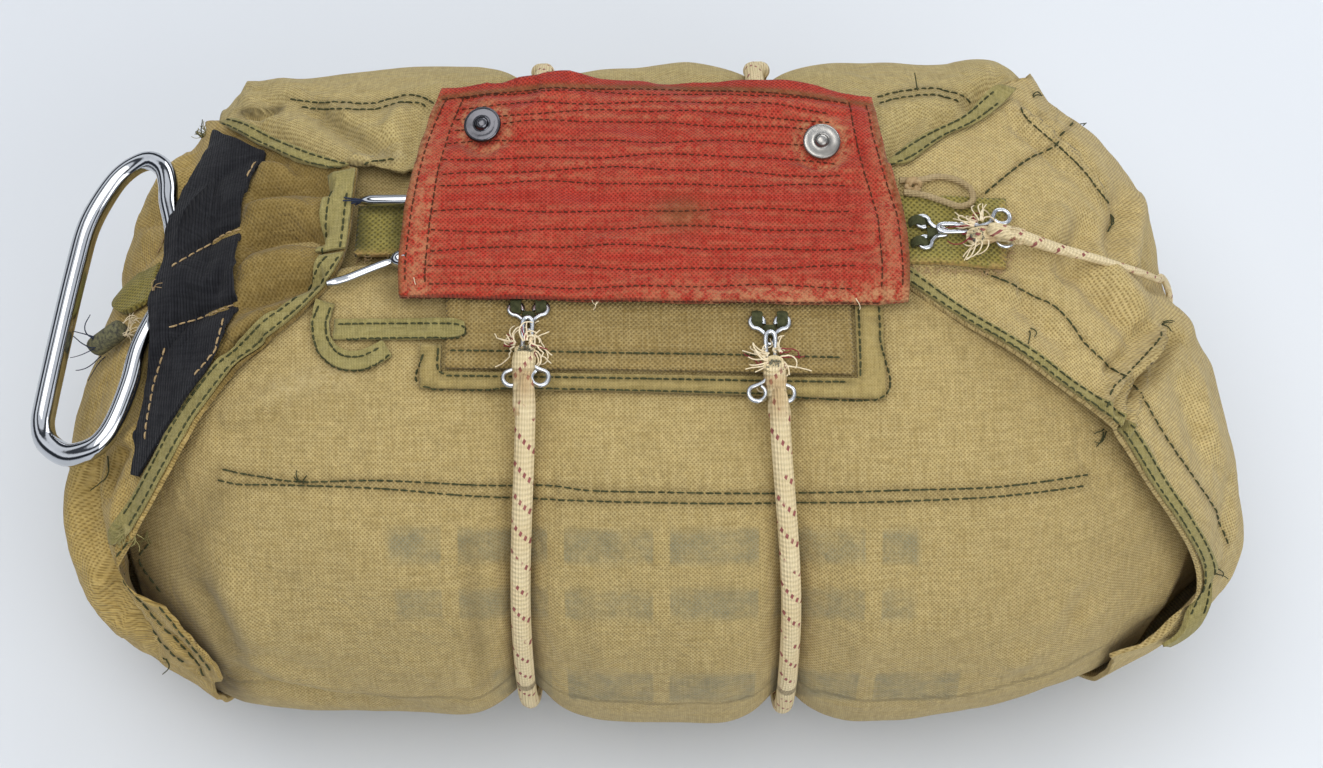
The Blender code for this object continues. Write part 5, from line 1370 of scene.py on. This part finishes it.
stud = {
    # radius and height of the turned outline
    "outline": [(0.0, 2.9), (0.9, 2.85), (1.6, 2.6), (2.1, 2.1), (2.35, 1.55), (2.7, 1.3), (3.3, 1.22),
                (4.2, 1.3), (5.1, 1.42), (5.7, 1.3), (6.1, 0.95), (6.2, 0.5), (6.15, 0.0), (5.8, -0.5)],
    "metals": {"left": "studNickel", "right": "brightNickel"},
}
for key, metal in stud["metals"].items():
    node = "stud_" + key
    points, centre, normal = nodeFacing(node)
    seat = Vector(centre) + normal * ((points - centre) @ np.array(normal)).min()
    bm = bmesh.new()
    verts = [bm.verts.new((radius * mm, 0.0, height * mm)) for radius, height in stud["outline"]]
    edges = [bm.edges.new(pair) for pair in zip(verts, verts[1:])]
    bmesh.ops.spin(bm, geom=verts + edges, axis=(0, 0, 1), cent=(0, 0, 0), steps=40, angle=2 * math.pi,
                   use_merge=True)
    bmesh.ops.remove_doubles(bm, verts=bm.verts, dist=weld)
    bmesh.ops.holes_fill(bm, edges=[edge for edge in bm.edges if edge.is_boundary])
    bmesh.ops.recalc_face_normals(bm, faces=bm.faces)
    turn = normal.to_track_quat("Z", "Y").to_matrix().to_4x4()
    bmesh.ops.transform(bm, verts=bm.verts, matrix=Matrix.Translation(seat * mm) @ turn)
    mesh = bpy.data.meshes.new("stud")
    bm.to_mesh(mesh)
    bm.free()
    finishPiece("stud" + capital(key), mesh, metals[metal], node)
print("studs set")


# grip ring, pins and the tan loop

grip = {
    # route on the board, height above it with its two slopes, half thickness
    "route": [(-159.8, 51.0), (-162.6, 60.0), (-163.4, 66.0), (-165.6, 71.6), (-171.0, 74.6), (-178.0, 72.0),
              (-184.0, 65.8), (-190.6, 53.0), (-193.5, 38.0), (-196.4, 17.0), (-199.2, -6.5), (-199.4, -13.5),
              (-197.0, -18.8), (-190.5, -22.5), (-184.2, -21.8), (-178.5, -18.8), (-174.0, -12.0),
              (-170.1, 0.0), (-168.0, 11.0), (-164.2, 20.0), (-159.5, 29.0), (-158.5, 40.0)],
    "out": 68.4, "tiltX": 0.40, "tiltV": -0.45, "thickness": 3.8,
}


def gripPlace(x, v, lift=0.0):
    return onBoard(x, v, grip["out"] + grip["tiltX"] * (x + 166.0) + grip["tiltV"] * (v - 20.0) + lift)


run = smoothRun(grip["route"], 1.6, closed=True)
shares = 0.87 + 0.15 * np.clip((-176.0 - run[:, 0]) / 14.0, 0.0, 1.0)
mesh = tubeMesh([([gripPlace(x, v) for x, v in run], shares, "closed")], grip["thickness"], sides=7)
finishPiece("gripRing", mesh, metals["gripChrome"], "ripcord_grip")
bead = smoothRun([(-163.6, 17.5), (-163.2, 21.5), (-162.0, 25.6)], 0.5)
ends = np.sin(np.linspace(0.12, 1.0, len(bead)) * math.pi * 0.94) ** 0.5
mesh = tubeMesh([([gripPlace(x, v, 2.4) for x, v in bead], ends)], 2.3, sides=4)
finishPiece("gripBead", mesh, metals["gripChrome"])


def clearHeight(x, v, sideways, reach):
    # the highest cloth under a thin piece, as its height above the board
    spots = [drop(x, v + step, 0.0, belowRed) for step in (0.0, reach, -reach)]
    spots += [drop(x + step, v, 0.0, belowRed) for step in (sideways, -sideways)]
    return max((spot - middle).dot(boardOut) for spot in spots if spot is not None)


pins = {
    # piece: node, run on the board, half thickness, lift
    "ripcordPin": ("ripcord_pin", [(-97.5, 59.6), (-88.0, 59.6), (-78.0, 59.6), (-68.0, 59.6)], 1.85, 0.4),
    "sidePin": ("side_pin", [(-106.5, 31.8), (-101.2, 33.2), (-95.4, 35.6), (-89.5, 38.0), (-85.3, 39.4)],
                1.5, 0.3),
}
for name, (node, run, radius, gap) in pins.items():
    line = smoothRun(run, 1.5)
    heights = [clearHeight(x, v, 0.0, radius) for x, v in line]
    flat = np.polyval(np.polyfit(line[:, 0], heights, 2), line[:, 0])
    flat += max(np.array(heights) - flat)
    route = [onBoard(x, v, h + radius + gap) for (x, v), h in zip(line, flat)]
    ends = np.minimum(1.0, 0.55 + 0.3 * np.minimum(np.arange(len(route)), np.arange(len(route))[::-1]))
    parts = [(route, ends)]
    if name == "sidePin":
        cap = [route[-1] + sideAxis * d + boardUp * 0.25 * d for d in np.linspace(-1.0, 5.0, 13)]
        parts.append((cap, 2.0 * np.sin(np.linspace(0.1, 0.93, 13) * math.pi) ** 0.5))
    mesh = tubeMesh(parts, radius, sides=5)
    finishPiece(name, mesh, metals["gripChrome"], node)
    if name == "ripcordPin":
        rng = np.random.default_rng(9)
        strands = []
        for _ in range(9):
            side = rng.normal(size=2) * 0.6
            start = route[0] + boardUp * side[0] + boardOut * side[1]
            reach = rng.uniform(2.0, 6.0)
            places = [start - sideAxis * reach * s + boardUp * side[0] * 1.6 * s * s
                      for s in np.linspace(-0.3, 1, 6)]
            strands.append((places, np.ones(6)))
        threads("pinStrands", strands, "blueThread", 0.28, sides=1)

loop = {
    # route on the board, and the cord's thickness
    "route": [(77.5, 66.4), (83.0, 66.2), (90.0, 67.6), (96.0, 66.6), (100.5, 63.4), (100.8, 59.2),
              (96.5, 57.4), (91.0, 59.2), (85.0, 61.2), (78.5, 62.2)],
    "thickness": 2.2,
}
line = smoothRun(loop["route"], 2.2)
heights = [clearHeight(x, v, 1.2, 1.2) for x, v in line]
for _ in range(3):
    before, after = heights[:1] + heights[:-1], heights[1:] + heights[-1:]
    heights = [max(h, 0.5 * (a + b)) for h, a, b in zip(heights, before, after)]
route = [onBoard(x, v, h + 0.5 * loop["thickness"] + 0.2) for (x, v), h in zip(line, heights)]
mesh = tubeMesh([(route, np.ones(len(route)))], 0.5 * loop["thickness"], sides=3)
flat = readPoints(mesh)
addMap(mesh, "cloth", np.stack((flat @ upRow, flat[:, 0]), 1) * mm)
addValues(mesh, "grime", np.zeros(len(flat)))
finishPiece("cordLoop", mesh, cloths["loopCover"], "cord_loop")
path = [tuple(place * mm) for place in route]
length = sum(math.dist(a, b) for a, b in zip(path, path[1:]))
knot = []
for k, (turn, rise) in enumerate(((0.3, 1.0), (1.3, 1.5), (2.4, 1.2))):
    wide = boardUp * math.cos(turn) + sideAxis * math.sin(turn)
    high = boardUp * math.sin(turn) - sideAxis * math.cos(turn)
    ring = [route[2] - boardUp * 1.6 + boardOut * rise + wide * 2.3 * math.cos(a) + high * 1.2 * math.sin(a)
            + boardOut * 0.9 * math.sin(2 * a + k) for a in np.linspace(0.0, 2 * math.pi, 17)[:-1]]
    knot.append((ring, np.ones(len(ring)), "closed"))
threads("loopKnot", knot, "tanThread", 0.8, sides=2)
print("metal and loop placed")


# floor

table = {"half": 3.0, "colour": (0.70, 0.725, 0.755, 1), "rough": 0.7}
floorMesh = bpy.data.meshes.new("floor")
bm = bmesh.new()
bmesh.ops.create_grid(bm, x_segments=1, y_segments=1, size=table["half"])
bm.to_mesh(floorMesh)
bm.free()
floor = bpy.data.objects.new("floor", floorMesh)
bpy.context.collection.objects.link(floor)
mat, tree, shader = newMaterial("paleTable")
shader.inputs["Base Color"].default_value = table["colour"]
shader.inputs["Roughness"].default_value = table["rough"]
floorMesh.materials.append(mat)
